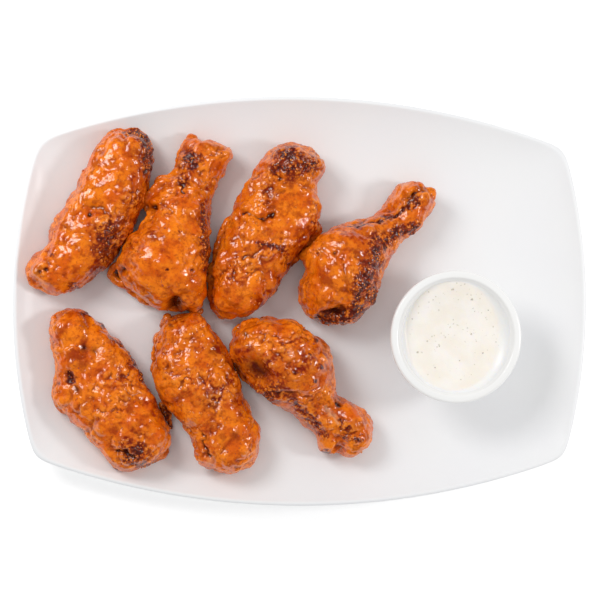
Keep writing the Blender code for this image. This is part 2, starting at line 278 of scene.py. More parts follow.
class SharedGroup:
    """A shader node group with named inputs and outputs, built once and placed in several materials."""

    def __init__(self, name: str, inputs: Mapping[str, str], outputs: Mapping[str, str]) -> None:
        """Make the group and its sockets.

        Args:
            name: The group's name.
            inputs: The type of each input, by name.
            outputs: The type of each output, by name.
        """
        self.tree = bpy.data.node_groups.new(name, "ShaderNodeTree")
        for direction, sockets in (("INPUT", inputs), ("OUTPUT", outputs)):
            for socket, kind in sockets.items():
                self.tree.interface.new_socket(name=socket, in_out=direction, socket_type="NodeSocket" + kind)
        self.wiring = Wiring(self.tree)
        self.inputs = self.tree.nodes.new("NodeGroupInput").outputs
        self.outputs = self.tree.nodes.new("NodeGroupOutput").inputs

    def send(self, name: str, socket: Socket) -> None:
        """Lead a socket to one of the group's outputs."""
        self.tree.links.new(socket, self.outputs[name])


def build_batter_grain() -> bpy.types.NodeTree:
    """Fine fried relief: tiny blisters with pores between them. Shared by wings, crumbs and sauce.

    Returns:
        A group with a Height and a Pores mask.
    """
    group = SharedGroup(
        "batter_grain", {"Vector": "Vector", "Scale": "Float"}, {"Height": "Float", "Pores": "Float"})
    wiring, vector, scale = group.wiring, group.inputs["Vector"], group.inputs["Scale"]
    blisters = wiring.cells(vector, scale)
    crumble = wiring.grains(vector, wiring.times(scale, 2.3), 4.0, 0.62)
    dents = wiring.step(blisters, 0.15, 0.75)
    domes = wiring.node("ShaderNodeMath", {0: 1.0, 1: dents}, operation="SUBTRACT").outputs[0]
    group.send("Height", wiring.between(0.45, domes, crumble))
    group.send("Pores", wiring.times(wiring.step(crumble, 0.56, 0.70), wiring.step(blisters, 0.35, 0.6)))
    return group.tree


def build_sauce_mottle() -> bpy.types.NodeTree:
    """Uneven sauce: thick and thin stretches with a fine scatter of darker streaks.

    Returns:
        A group with a Color and a Thickness mask.
    """
    group = SharedGroup(
        "sauce_mottle",
        {"Vector": "Vector", "Scale": "Float", "Thick": "Color", "Thin": "Color", "Streak": "Color"},
        {"Color": "Color", "Thickness": "Float"},
    )
    wiring, vector, scale = group.wiring, group.inputs["Vector"], group.inputs["Scale"]
    patches = wiring.step(wiring.grains(vector, scale, 3.0, 0.55), 0.38, 0.64)
    fine = wiring.grains(vector, wiring.times(scale, 5.0), 3.0, 0.6)
    colour = wiring.blend(patches, group.inputs["Thin"], group.inputs["Thick"])
    streaks = wiring.times(wiring.step(fine, 0.48, 0.72), 0.6)
    group.send("Color", wiring.blend(streaks, colour, group.inputs["Streak"]))
    group.send("Thickness", wiring.between(0.4, patches, fine))
    return group.tree


def build_flecks() -> bpy.types.NodeTree:
    """Sparse tiny specks, such as pepper or chilli in a sauce or herbs in a dip.

    Returns:
        A group with a Mask.
    """
    group = SharedGroup(
        "flecks", {"Vector": "Vector", "Scale": "Float", "Size": "Float"}, {"Mask": "Float"})
    wiring, vector, scale = group.wiring, group.inputs["Vector"], group.inputs["Scale"]
    wobble = wiring.node(
        "ShaderNodeTexNoise", {"Vector": vector, "Scale": wiring.times(scale, 3.0)}).outputs[1]
    shifted = wiring.node("ShaderNodeVectorMath", {0: wobble, "Scale": 0.0006}, operation="SCALE").outputs[0]
    moved = wiring.node("ShaderNodeVectorMath", {0: vector, 1: shifted}, operation="ADD").outputs[0]
    distance = wiring.cells(moved, scale)
    small = wiring.node(
        "ShaderNodeMath", {0: distance, 1: group.inputs["Size"]}, operation="LESS_THAN").outputs[0]
    some = wiring.step(wiring.grains(vector, wiring.times(scale, 0.37)), 0.48, 0.56)
    group.send("Mask", wiring.times(small, some))
    return group.tree


def build_glaze_waver() -> bpy.types.NodeTree:
    """The faint waver and tone of a fired glaze. Shared by the plate and the pot.

    Returns:
        A group with a Height and a Tone mask.
    """
    group = SharedGroup(
        "glaze_waver", {"Vector": "Vector", "Scale": "Float"}, {"Height": "Float", "Tone": "Float"})
    wiring, vector, scale = group.wiring, group.inputs["Vector"], group.inputs["Scale"]
    broad = wiring.grains(vector, scale, 1.0, 0.4)
    peel = wiring.grains(vector, wiring.times(scale, 9.0), 2.0, 0.4)
    group.send("Height", wiring.between(0.12, broad, peel))
    group.send("Tone", wiring.step(broad, 0.3, 0.7))
    return group.tree


class Groups:
    """The shared shader groups, built once."""

    def __init__(self) -> None:
        """Build every group."""
        self.grain = build_batter_grain()
        self.mottle = build_sauce_mottle()
        self.flecks = build_flecks()
        self.waver = build_glaze_waver()


class Mark(Enum):
    """What a point of a wing's skin is marked with, each from 0 to 1."""

    CHAR = "char"
    # Darkening in creases, pits and down-facing sides: painted shade with some real browning.
    HOLLOW = "brown_and_shade"
    GLOSS = "gloss"
    PALE = "pale"
    # Painted light on fine crests and painted shade in fine valleys.
    CREST = "relief_light"
    # Roast colour, and painted shade along the wings' right flanks.
    RUDDY = "ruddy_and_side_shade"
    GRIT = "grit"
    FILM = "film"


def start_material(name: str) -> tuple[bpy.types.Material, Wiring, bpy.types.Node]:
    """Make an empty material with its shader.

    Args:
        name: The material's name.

    Returns:
        The material, the wiring of its tree and its Principled shader.
    """
    material = bpy.data.materials.new(name)
    material.use_nodes = True
    shader = material.node_tree.nodes["Principled BSDF"]
    return material, Wiring(material.node_tree), shader


@dataclass(frozen=True)
class CrustFinish:
    """Buffalo-style sauce over fried batter: wet orange, folds darkened partly by real browning and partly by
    painted shade, and nearly black burnt edges.
    """

    name: str
    thick: Colour = srgb(223, 96, 0)
    thin: Colour = srgb(248, 130, 14)
    streak: Colour = srgb(170, 50, 0)
    # Roast colour: real roasted skin, and painted shade where the roast mark runs along the wings' right
    # flanks.
    roast_and_side_shade: Colour = srgb(140, 30, 0)
    # Relief colours: painted light on fine crests and painted shade in fine valleys; also the colours of
    # random light and dark specks.
    relief_light: Colour = srgb(255, 152, 48)
    relief_shade: Colour = srgb(110, 22, 0)
    # Crease colour: painted shade in pits, creases and down-facing sides, and also the colour of the real
    # pepper flecks.
    fold_shade_and_fleck: Colour = srgb(76, 14, 0)
    scorch: Colour = srgb(128, 34, 14)
    burnt: Colour = srgb(66, 16, 16)
    bone: Colour = srgb(222, 178, 140)
    patch_scale: float = 130.0
    red_scale: float = 190.0
    grain_scale: float = 850.0
    speckle_scale: float = 620.0
    fleck_scale: float = 260.0
    fleck_size: float = 0.11
    wet: float = 0.24
    dry: float = 0.30
    shiny: float = 0.18
    coat_roughness: float = 0.06
    specular: float = 0.38
    subsurface: float = 0.05
    bump_strength: float = 0.75

    def make(self, groups: Groups) -> bpy.types.Material:
        """Build the material.

        Args:
            groups: The shared shader groups.

        Returns:
            The finished material.
        """
        material, wiring, shader = start_material(self.name)
        vector = wiring.node("ShaderNodeTexCoord").outputs["Object"]
        marks = {
            mark: wiring.node("ShaderNodeAttribute", attribute_name=mark.value).outputs["Fac"]
            for mark in Mark if mark is not Mark.FILM
        }
        mottle = wiring.group(groups.mottle, {
            "Vector": vector, "Scale": self.patch_scale, "Thick": self.thick, "Thin": self.thin,
            "Streak": self.streak,
        })
        grain = wiring.group(groups.grain, {"Vector": vector, "Scale": self.grain_scale})
        flecks = wiring.group(groups.flecks, {
            "Vector": vector, "Scale": self.fleck_scale, "Size": self.fleck_size,
        })
        relief_light, ruddy_and_side_shade = marks[Mark.CREST], marks[Mark.RUDDY]
        # Random red patches and marked roast; the marked roast along the right flanks is painted shade.
        red = wiring.step(wiring.grains(vector, self.red_scale, 3.0, 0.6), 0.46, 0.66)
        roasted_and_side_shaded = wiring.sum(
            wiring.times(red, wiring.between(ruddy_and_side_shade, 0.55, 1.0)), wiring.times(ruddy_and_side_shade, 0.45))
        colour = wiring.blend(roasted_and_side_shaded, mottle.outputs["Color"], self.roast_and_side_shade)
        speckle = wiring.grains(vector, self.speckle_scale, 2.0, 0.7)
        gritty = wiring.between(marks[Mark.GRIT], 0.03, 0.45)
        # Random light and dark specks in gritty places, in the relief colours.
        colour = wiring.blend(wiring.times(wiring.step(speckle, 0.52, 0.68), gritty), colour, self.relief_light)
        colour = wiring.blend(wiring.times(wiring.step(speckle, 0.48, 0.34), gritty), colour, self.relief_shade)
        # Painted light on the fine crests and painted shade in the fine valleys between them.
        colour = wiring.blend(wiring.times(wiring.step(relief_light, 0.54, 1.0), 0.6), colour, self.relief_light)
        colour = wiring.blend(wiring.times(wiring.step(relief_light, 0.46, 0.05), 0.85), colour, self.relief_shade)
        burn = wiring.times(marks[Mark.CHAR], wiring.between(grain.outputs["Height"], 1.6, 0.3))
        colour = wiring.blend(wiring.times(wiring.step(burn, 0.12, 0.45), 0.85), colour, self.scorch)
        burn = wiring.step(burn, 0.42, 0.85)
        colour = wiring.blend(wiring.times(burn, 0.85), colour, self.burnt)
        # Painted shade: pits, pores, creases and down-facing sides are darkened toward the crease colour,
        # partly standing for real browning in the creases.
        pores = wiring.times(grain.outputs["Pores"], wiring.times(marks[Mark.GRIT], 0.15))
        browned_and_shaded = wiring.step(wiring.sum(marks[Mark.HOLLOW], pores), 0.05, 0.95)
        colour = wiring.blend(browned_and_shaded, colour, self.fold_shade_and_fleck)
        # Real pepper flecks, in the same dark crease colour.
        colour = wiring.blend(wiring.times(flecks.outputs["Mask"], 0.12), colour, self.fold_shade_and_fleck)
        colour = wiring.blend(marks[Mark.PALE], colour, self.bone)
        wiring.tree.links.new(colour, shader.inputs["Base Color"])
        dullness = wiring.between(burn, self.wet, self.dry)
        dullness = wiring.between(wiring.times(marks[Mark.GLOSS], 0.6), dullness, self.shiny)
        wiring.tree.links.new(dullness, shader.inputs["Roughness"])
        edge = wiring.node("ShaderNodeLayerWeight", {"Blend": 0.5}).outputs["Facing"]
        coat = wiring.between(burn, wiring.between(mottle.outputs["Thickness"], 0.65, 1.0), 0.6)
        coat = wiring.times(coat, wiring.step(edge, 0.95, 0.5))
        wiring.tree.links.new(coat, shader.inputs["Coat Weight"])
        shader.inputs["Coat Roughness"].default_value = self.coat_roughness
        shader.inputs["Specular IOR Level"].default_value = self.specular
        shader.inputs["Subsurface Weight"].default_value = self.subsurface
        shader.inputs["Subsurface Radius"].default_value = (1.0, 0.35, 0.12)
        shader.inputs["Subsurface Scale"].default_value = 0.0018
        relief = wiring.times(grain.outputs["Height"], wiring.between(marks[Mark.GRIT], 0.35, 1.0))
        normal = wiring.bump(relief, self.bump_strength, BUMP_HEIGHT)
        wiring.tree.links.new(normal, shader.inputs["Normal"])
        wiring.tree.links.new(normal, shader.inputs["Coat Normal"])
        return material


@dataclass(frozen=True)
class GlazeFinish:
    """White glazed porcelain with a soft, slightly uneven shine."""

    name: str
    body: Colour = srgb(241, 242, 243)
    shade: Colour = srgb(239, 240, 242)
    dullness: float = 0.42
    waver_scale: float = 28.0
    coat: float = 0.08
    coat_roughness: float = 0.12
    bump_strength: float = 0.12
    bump_height: float = 0.0006

    def make(self, groups: Groups) -> bpy.types.Material:
        """Build the material.

        Args:
            groups: The shared shader groups.

        Returns:
            The finished material.
        """
        material, wiring, shader = start_material(self.name)
        vector = wiring.node("ShaderNodeTexCoord").outputs["Object"]
        waver = wiring.group(groups.waver, {"Vector": vector, "Scale": self.waver_scale})
        tone = waver.outputs["Tone"]
        wiring.tree.links.new(wiring.blend(tone, self.body, self.shade), shader.inputs["Base Color"])
        roughness = wiring.between(tone, self.dullness, self.dullness * 1.35)
        wiring.tree.links.new(roughness, shader.inputs["Roughness"])
        shader.inputs["Coat Weight"].default_value = self.coat
        shader.inputs["Coat Roughness"].default_value = self.coat_roughness
        normal = wiring.bump(waver.outputs["Height"], self.bump_strength, self.bump_height)
        wiring.tree.links.new(normal, shader.inputs["Normal"])
        return material


@dataclass(frozen=True)
class DipFinish:
    """Thick ranch-style cream: off-white, satin, with a few tiny specks under the surface."""

    name: str
    cream: Colour = srgb(249, 243, 236)
    thick: Colour = srgb(244, 237, 226)
    speck: Colour = srgb(168, 158, 128)
    film: Colour = srgb(246, 245, 243)
    cloud_scale: float = 90.0
    fleck_scale: float = 420.0
    fleck_size: float = 0.17
    grain_scale: float = 1500.0
    subsurface: float = 0.25
    bump_strength: float = 0.10

    def make(self, groups: Groups) -> bpy.types.Material:
        """Build the material.

        Args:
            groups: The shared shader groups.

        Returns:
            The finished material.
        """
        material, wiring, shader = start_material(self.name)
        vector = wiring.node("ShaderNodeTexCoord").outputs["Object"]
        clouds = wiring.step(wiring.grains(vector, self.cloud_scale, 3.0), 0.35, 0.65)
        flecks = wiring.group(groups.flecks, {
            "Vector": vector, "Scale": self.fleck_scale, "Size": self.fleck_size,
        })
        grain = wiring.group(groups.grain, {"Vector": vector, "Scale": self.grain_scale})
        colour = wiring.blend(clouds, self.cream, self.thick)
        colour = wiring.blend(wiring.times(flecks.outputs["Mask"], 0.35), colour, self.speck)
        thinned = wiring.node("ShaderNodeAttribute", attribute_name=Mark.FILM.value).outputs["Fac"]
        colour = wiring.blend(wiring.step(thinned, 0.0, 0.5), colour, self.film)
        wiring.tree.links.new(colour, shader.inputs["Base Color"])
        wiring.tree.links.new(wiring.between(clouds, 0.30, 0.42), shader.inputs["Roughness"])
        shader.inputs["Subsurface Weight"].default_value = self.subsurface
        shader.inputs["Subsurface Radius"].default_value = (1.0, 0.8, 0.5)
        shader.inputs["Subsurface Scale"].default_value = 0.002
        normal = wiring.bump(grain.outputs["Height"], self.bump_strength, BUMP_HEIGHT)
        wiring.tree.links.new(normal, shader.inputs["Normal"])
        return material


@dataclass(frozen=True)
class GritFinish:
    """Small solid bits: fried crumbs, or herbs and pepper in the dip."""

    name: str
    light: Colour
    dark: Colour
    dullness: float = 0.4
    grain_scale: float = 1400.0
    tint_scale: float = 420.0
    coat: float = 0.3
    bump_strength: float = 0.5

    def make(self, groups: Groups) -> bpy.types.Material:
        """Build the material.

        Args:
            groups: The shared shader groups.

        Returns:
            The finished material.
        """
        material, wiring, shader = start_material(self.name)
        vector = wiring.node("ShaderNodeTexCoord").outputs["Object"]
        grain = wiring.group(groups.grain, {"Vector": vector, "Scale": self.grain_scale})
        tint = wiring.step(wiring.grains(vector, self.tint_scale), 0.42, 0.58)
        wiring.tree.links.new(wiring.blend(tint, self.light, self.dark), shader.inputs["Base Color"])
        roughness = wiring.between(tint, self.dullness, self.dullness * 1.3)
        wiring.tree.links.new(roughness, shader.inputs["Roughness"])
        shader.inputs["Coat Weight"].default_value = self.coat
        normal = wiring.bump(grain.outputs["Height"], self.bump_strength, BUMP_HEIGHT)
        wiring.tree.links.new(normal, shader.inputs["Normal"])
        return material


# ---------------------------------------------------------------- the plate


@dataclass
class Plate:
    """A rectangular coupe plate: two pairs of bowed sides, soft corners and a rim that sweeps up."""

    half_length: float
    half_width: float
    height: float
    long_side_radius: float = 0.380
    short_side_radius: float = 0.278
    corner_softness: float = 0.0022
    corner_softening: float = 0.35
    floor_height: float = 0.0055
    sweep_width: float = 0.040
    sweep_power: float = 2.2
    wall: float = 0.0042
    lip_radius: float = 0.0013
    brim_rise: float = 0.00146
    brim_reach: float = 0.007
    foot_inset: float = 0.046
    foot_width: float = 0.004
    foot_depth: float = 0.0016
    sides: int = 440
    corner_crowding: float = 0.8

    def outside(self, x: np.ndarray, y: np.ndarray, softness: np.ndarray) -> np.ndarray:
        """How far points lie outside the outline, in plan.

        Args:
            x: Along the plate.
            y: Across the plate.
            softness: How widely two sides blend at a corner.

        Returns:
            Distances, negative inside.
        """
        long_centre = self.half_width - self.long_side_radius
        short_centre = self.half_length - self.short_side_radius
        long_side = np.hypot(x, np.abs(y) - long_centre) - self.long_side_radius
        short_side = np.hypot(np.abs(x) - short_centre, y) - self.short_side_radius
        return softness * np.logaddexp(long_side / softness, short_side / softness)

    def softness(self, inset: Union[float, np.ndarray]) -> Union[float, np.ndarray]:
        """How widely the corners blend, this far in from the lip."""
        return self.corner_softness + self.corner_softening * inset

    def inset(self, x: np.ndarray, y: np.ndarray) -> np.ndarray:
        """How far in from the edge points of the floor lie."""
        inset = np.maximum(-self.outside(x, y, self.corner_softness), 0.0)
        for _ in range(3):
            inset = np.maximum(-self.outside(x, y, self.softness(inset)), 0.0)
        return inset

    def top(self, inset: Union[float, np.ndarray]) -> Union[float, np.ndarray]:
        """The height of the upper face, this far in from the edge."""
        rise = np.maximum(1 - inset / self.sweep_width, 0.0)
        brim = self.brim_rise * np.exp(-inset / self.brim_reach)
        return self.floor_height + (self.height - self.floor_height) * rise ** self.sweep_power + brim

    def underside(self, inset: float) -> float:
        """The height of the lower face outside the foot, this far in from the edge."""
        rise = max(1 - inset / self.sweep_width, 0.0)
        steepness = self.sweep_power * (self.height - self.floor_height) / self.sweep_width
        slope = steepness * rise ** (self.sweep_power - 1)
        return float(self.top(inset)) - self.wall * math.hypot(1, slope)

    def ring(self, inset: float, height: float) -> np.ndarray:
        """The closed ring of points this far in from the edge, at this height."""
        even = np.linspace(0, 2 * math.pi, self.sides, endpoint=False)
        angles = even + self.corner_crowding * np.sin(4 * even) / 4
        x, y = self.half_length * np.cos(angles), self.half_width * np.sin(angles)
        near, far = np.zeros_like(x), np.full_like(x, 1.5)
        for _ in range(40):
            middle = (near + far) / 2
            inside = self.outside(x * middle, y * middle, self.softness(inset)) < -inset
            near, far = np.where(inside, middle, near), np.where(inside, far, middle)
        return np.stack([x * near, y * near, np.full_like(x, height)], axis=1)

    def profile(self) -> list[Plan]:
        """The section as (inset, height), from under the middle round the lip to the floor."""
        inner, outer = self.foot_inset + self.foot_width / 2, self.foot_inset - self.foot_width / 2
        depth, bend = self.foot_depth, self.foot_width / 8
        profile = [
            (inner + 4 * depth, depth), (inner + depth / 2, depth), (inner, depth / 2),
            (inner - bend / 2, bend / 2), (inner - bend, 0.0), (outer + bend, 0.0),
            (outer + bend / 2, bend / 2), (outer, depth / 2), (outer - depth, self.underside(outer - depth)),
        ]
        lip_end = self.lip_radius * 1.6
        profile += [(inset, self.underside(inset)) for inset in np.linspace(0.038, lip_end, 16)]
        for turn in range(-50, 131, 12):
            across = self.lip_radius * (1 - math.cos(math.radians(turn)))
            up = self.lip_radius * (math.sin(math.radians(turn)) - 1)
            profile.append((across, self.height + up))
        profile += [(inset, float(self.top(inset))) for inset in np.linspace(0.003, self.sweep_width, 30)]
        return profile

    def build(self, groups: Groups) -> None:
        """Make the plate and dress it in white glaze."""
        piece = loft("coupe_plate", [self.ring(inset, height) for inset, height in self.profile()])
        piece.data.materials.append(GlazeFinish("plate_glaze").make(groups))
        present(piece, "plate_glaze", "plate")


# ---------------------------------------------------------------- the pot and its dip


@dataclass
class Pot:
    """A small white cup that flares towards a thick flat rim."""

    centre: Vector
    base: float
    radius: float
    height: float
    rim_depth: float = 0.0045
    mouth_radius: float = 0.0283
    bottom_radius: float = 0.0210
    wall: float = 0.0032
    floor: float = 0.0045
    bend: float = 0.0035
    edge: float = 0.0012
    sides: int = 160

    @classmethod
    def from_node(cls, node: str) -> "Pot":
        """Take the pot's place and size from its node's box."""
        low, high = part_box(node)
        middle = (low + high) / 2
        return cls(centre=middle, base=low.z, radius=(high.x - low.x) / 2, height=high.z - low.z)

    def wall_radius(self, height: float) -> float:
        """The inner radius at this height over the base."""
        rise = (height - self.floor) / (self.height - self.floor)
        return self.bottom_radius + (self.mouth_radius - self.bottom_radius) * rise ** 2

    def wall_reach(self, height: float) -> float:
        """How far out cream may lie against the wall at this height over the base."""
        return self.wall_radius(height) + 0.0004

    def spin(self, profile: Iterable[Plan]) -> list[np.ndarray]:
        """Turn a profile of (radius, height) into rings round the pot's axis."""
        angles = np.linspace(0, 2 * math.pi, self.sides, endpoint=False)
        rings = []
        for radius, height in profile:
            x = self.centre.x + radius * np.cos(angles)
            y = self.centre.y + radius * np.sin(angles)
            rings.append(np.stack([x, y, np.full_like(x, self.base + height)], axis=1))
        return rings

    def corner(self, radius: float, height: float, size: float, start: int, end: int) -> list[Plan]:
        """A rounded edge: an arc about (radius, height), in degrees from start to end."""
        turns = np.radians(np.linspace(start, end, 7))
        return [(radius + size * math.cos(turn), height + size * math.sin(turn)) for turn in turns]

    def profile(self) -> list[Plan]:
        """The section as (radius, height), from the inner floor over the rim to the base."""
        lower = self.floor + self.bend
        steps = np.linspace(lower, self.height - self.edge, 16)
        profile = [(self.bottom_radius - self.bend - 0.006, self.floor)]
        profile += self.corner(self.bottom_radius - self.bend, lower, self.bend, -90, -20)
        profile += [(self.wall_radius(height), height) for height in steps[1:]]
        profile += self.corner(self.mouth_radius + self.edge, self.height - self.edge, self.edge, 165, 90)
        profile += self.corner(self.radius - self.edge, self.height - self.edge, self.edge, 90, 0)
        profile += self.corner(
            self.radius - self.edge, self.height - self.rim_depth + self.edge, self.edge, 0, -80)
        outer = [height for height in steps[::-1] if height < self.height - self.rim_depth - self.edge]
        profile += [(self.wall_radius(height) + self.wall, height - self.edge) for height in outer]
        foot = self.bottom_radius + self.wall - self.edge
        profile += self.corner(foot, self.edge, self.edge, -10, -90)
        profile.append((foot * 0.8, 0.0))
        return profile

    def build(self, groups: Groups) -> None:
        """Make the pot and dress it in a brighter glaze."""
        piece = loft("dip_pot", self.spin(self.profile()))
        finish = GlazeFinish("pot_glaze", body=srgb(244, 244, 243), shade=srgb(242, 242, 241), dullness=0.2)
        piece.data.materials.append(finish.make(groups))
        present(piece, "ramekin_glaze", "ramekin")


@dataclass
class Dip:
    """Cream in the pot: an almost level top that clings to the wall, higher on two sides."""

    pot: Pot
    level: float
    narrow: float = 0.0222
    wide: float = 0.0262
    top_gap: float = 0.0012
    bowl: float = 0.0040
    sweep_power: float = 1.7
    rings: int = 64

    def surface(self, reach: float, turn: float) -> tuple[float, float]:
        """The height of the top over the pot's base, and how far it is into its sweep up the wall.

        Args:
            reach: From the pot's axis, in metres.
            turn: The direction from the pot's axis.

        Returns:
            The height, and 0 on the open top to 1 where the sweep ends.
        """
        x, y = reach * math.cos(turn), reach * math.sin(turn)
        end = self.pot.wall_reach(self.pot.height - self.top_gap)
        flat = self.narrow + (self.wide - self.narrow) * math.sin(turn) ** 2
        flat += 0.0008 * math.sin(turn) - 0.0014 * math.cos(turn)
        flat += 0.0002 * math.sin(3 * turn + 1) + 0.0001 * math.sin(7 * turn)
        rise = min(max(reach - flat, 0) / (end - flat), 1.0)
        open_reach = min(reach, flat)
        bowl = self.bowl * math.sin(turn) ** 2 * (open_reach / self.wide) ** 2
        swirl = 0.00016 * math.sin(260 * x - 140 * y + 90 * reach)
        dimples = 0.00022 * noise.noise(Vector((x, y, 0)) * 160)
        top = self.level + bowl
        climb = self.pot.height - self.top_gap - top
        return top + (swirl + dimples) * (1 - rise) + climb * rise ** self.sweep_power, rise

    def build(self, groups: Groups) -> None:
        """Make the cream, with its sweep up the wall and its body down to the pot's floor."""
        pot, turns = self.pot, np.linspace(0, 2 * math.pi, self.pot.sides, endpoint=False)
        rings, film = [], []
        end = pot.wall_reach(pot.height - self.top_gap)
        for step in range(1, self.rings + 1):
            reach, ring = end * math.sin(math.pi / 2 * step / self.rings), []
            for turn in turns:
                height, rise = self.surface(reach, turn)
                x, y = reach * math.cos(turn), reach * math.sin(turn)
                ring.append((pot.centre.x + x, pot.centre.y + y, pot.base + height))
                film.append(rise)
            rings.append(np.array(ring))
        rings += pot.spin([
            (pot.wall_radius(self.level) + 0.0002, self.level - 0.0015),
            (pot.wall_radius(pot.floor + pot.bend) - 0.0004, pot.floor + pot.bend),
            (pot.bottom_radius - pot.bend - 0.0005, pot.floor + 0.0005),
        ])
        piece = loft("cream_dip", rings)
        store = piece.data.attributes.new(Mark.FILM.value, "FLOAT", "POINT")
        film += [0.0] * (len(piece.data.vertices) - len(film))
        store.data.foreach_set("value", np.array(film, dtype=np.float32))
        piece.data.materials.append(DipFinish("cream_dip").make(groups))
        present(piece, "cream_dip", "dip")
        self.season(groups)

    def season(self, groups: Groups) -> None:
        """Lay herb and pepper bits into the cream: a few that show, and many tiny ones."""
        shown = (
            (8.3, 18.6, 0.85, 1.0, 0.3), (-7.4, -4.4, 0.55, 2.6, 0.1), (-18.1, -7.8, 0.8, 1.1, 0.9),
            (-13.2, -2.0, 0.6, 1.2, 0.7), (-2.0, 4.9, 0.55, 1.1, 0.5), (1.5, 5.9, 0.45, 1.3, 1.1),
            (8.3, 1.5, 0.5, 1.2, 0.4), (14.2, -7.8, 0.55, 1.2, 0.2), (-1.5, 23.2, 0.7, 1.4, 1.5),
            (5.9, 21.0, 0.5, 1.1, 0.6), (7.8, 20.6, 0.5, 1.0, 0.2), (16.7, 13.2, 0.5, 1.1, 1.0),
            (2.5, -11.8, 0.5, 1.2, 0.8), (-9.8, -15.2, 0.5, 1.1, 0.3), (3.0, -21.0, 0.4, 1.1, 0.0),
            (-21.0, 8.6, 0.5, 1.2, 0.9), (9.0, 14.0, 0.35, 1.0, 0.0), (15.5, 9.5, 0.4, 1.2, 0.5),
        )
        random = np.random.default_rng(11)
        bits = [Bit(x * MM, y * MM, size * MM, longer, turn) for x, y, size, longer, turn in shown]
        for _ in range(34):
            turn, reach = random.uniform(0, 2 * math.pi), 24 * MM * math.sqrt(random.uniform(0, 1))
            bits.append(Bit(
                reach * math.cos(turn), reach * math.sin(turn), random.uniform(0.10, 0.26) * MM,
                random.uniform(1.0, 1.6), random.uniform(0, math.pi)))
        mesh = bmesh.new()
        for bit in bits:
            top, _ = self.surface(math.hypot(bit.x, bit.y), math.atan2(bit.y, bit.x))
            height = self.pot.base + top - bit.size * 0.25
            place = Vector((self.pot.centre.x + bit.x, self.pot.centre.y + bit.y, height))
            bit.add_to(mesh, place, flat=0.45, random=random)
        data = bpy.data.meshes.new("herb_bits")
        mesh.to_mesh(data)
        mesh.free()
        piece = add_object("herb_bits", data)
        finish = GritFinish("herb_bits", light=srgb(227, 220, 206), dark=srgb(202, 194, 179))
        piece.data.materials.append(finish.make(groups))
        present(piece, "cream_dip")


@dataclass(frozen=True)
class Bit:
    """A small irregular grain: its place, its radius, how much longer than wide it is and its turn."""

    x: float
    y: float
    size: float
    longer: float
    turn: float

    def add_to(
        self, mesh: bmesh.types.BMesh, place: Vector, flat: float, random: np.random.Generator
    ) -> None:
        """Add the grain to a mesh.

        Args:
            mesh: The mesh that takes it.
            place: Its middle.
            flat: Its height, as a share of its width.
            random: Where its unevenness comes from.
        """
        made = bmesh.ops.create_icosphere(mesh, subdivisions=1, radius=self.size)["verts"]
        for vert in made:
            vert.co *= 1 + random.uniform(-0.28, 0.28)
        stretch = Matrix.Diagonal((1.0, self.longer, flat, 1.0))
        bmesh.ops.transform(
            mesh, verts=made, matrix=Matrix.Translation(place) @ Matrix.Rotation(self.turn, 4, "Z") @ stretch)


# ---------------------------------------------------------------- features of a wing's skin


@dataclass(frozen=True, kw_only=True)
class Trait:
    """What a feature does to the skin: a rise in millimetres, and marks from 0 to 1."""

    rise: float = 0.0
    char: float = 0.0
    # Darkens the skin toward the crease colour: real browning, and painted shade in pits, creases and shaded
    # flanks.
    brown_and_shade: float = 0.0
    gloss: float = 0.0
    pale: float = 0.0
    rough: float = 0.0
    # Red-brown roast colour; where it runs along a wing's right flank it is painted shade.
    ruddy_and_side_shade: float = 0.0


@dataclass(frozen=True)
class Spot(Trait):
    """A round or oval feature in plan, in millimetres."""

    x: float
    y: float
    reach: float
    stretch: float = 1.0
    turn: float = 0.0

    def cover(self, points: np.ndarray) -> np.ndarray:
        """How much of the feature each point has, from 0 to 1."""
        across, along = points[:, 0] - self.x, points[:, 1] - self.y
        cos, sin = math.cos(self.turn), math.sin(self.turn)
        u, v = cos * across + sin * along, cos * along - sin * across
        return np.exp(-((u / self.stretch) ** 2 + v ** 2) / self.reach ** 2)


@dataclass(frozen=True)
class Seam(Trait):
    """A crease, ridge or streak along a path in plan, in millimetres."""

    path: Sequence[Plan]
    width: float

    def cover(self, points: np.ndarray) -> np.ndarray:
        """How much of the feature each point has, from 0 to 1."""
        nearest = np.full(len(points), FAR)
        for start, end in zip(self.path, self.path[1:]):
            run = np.subtract(end, start)
            share = np.clip(((points[:, :2] - start) @ run) / (run @ run), 0, 1)
            gap = points[:, :2] - start - share[:, None] * run
            nearest = np.minimum(nearest, (gap ** 2).sum(axis=1))
        return np.exp(-nearest / self.width ** 2)


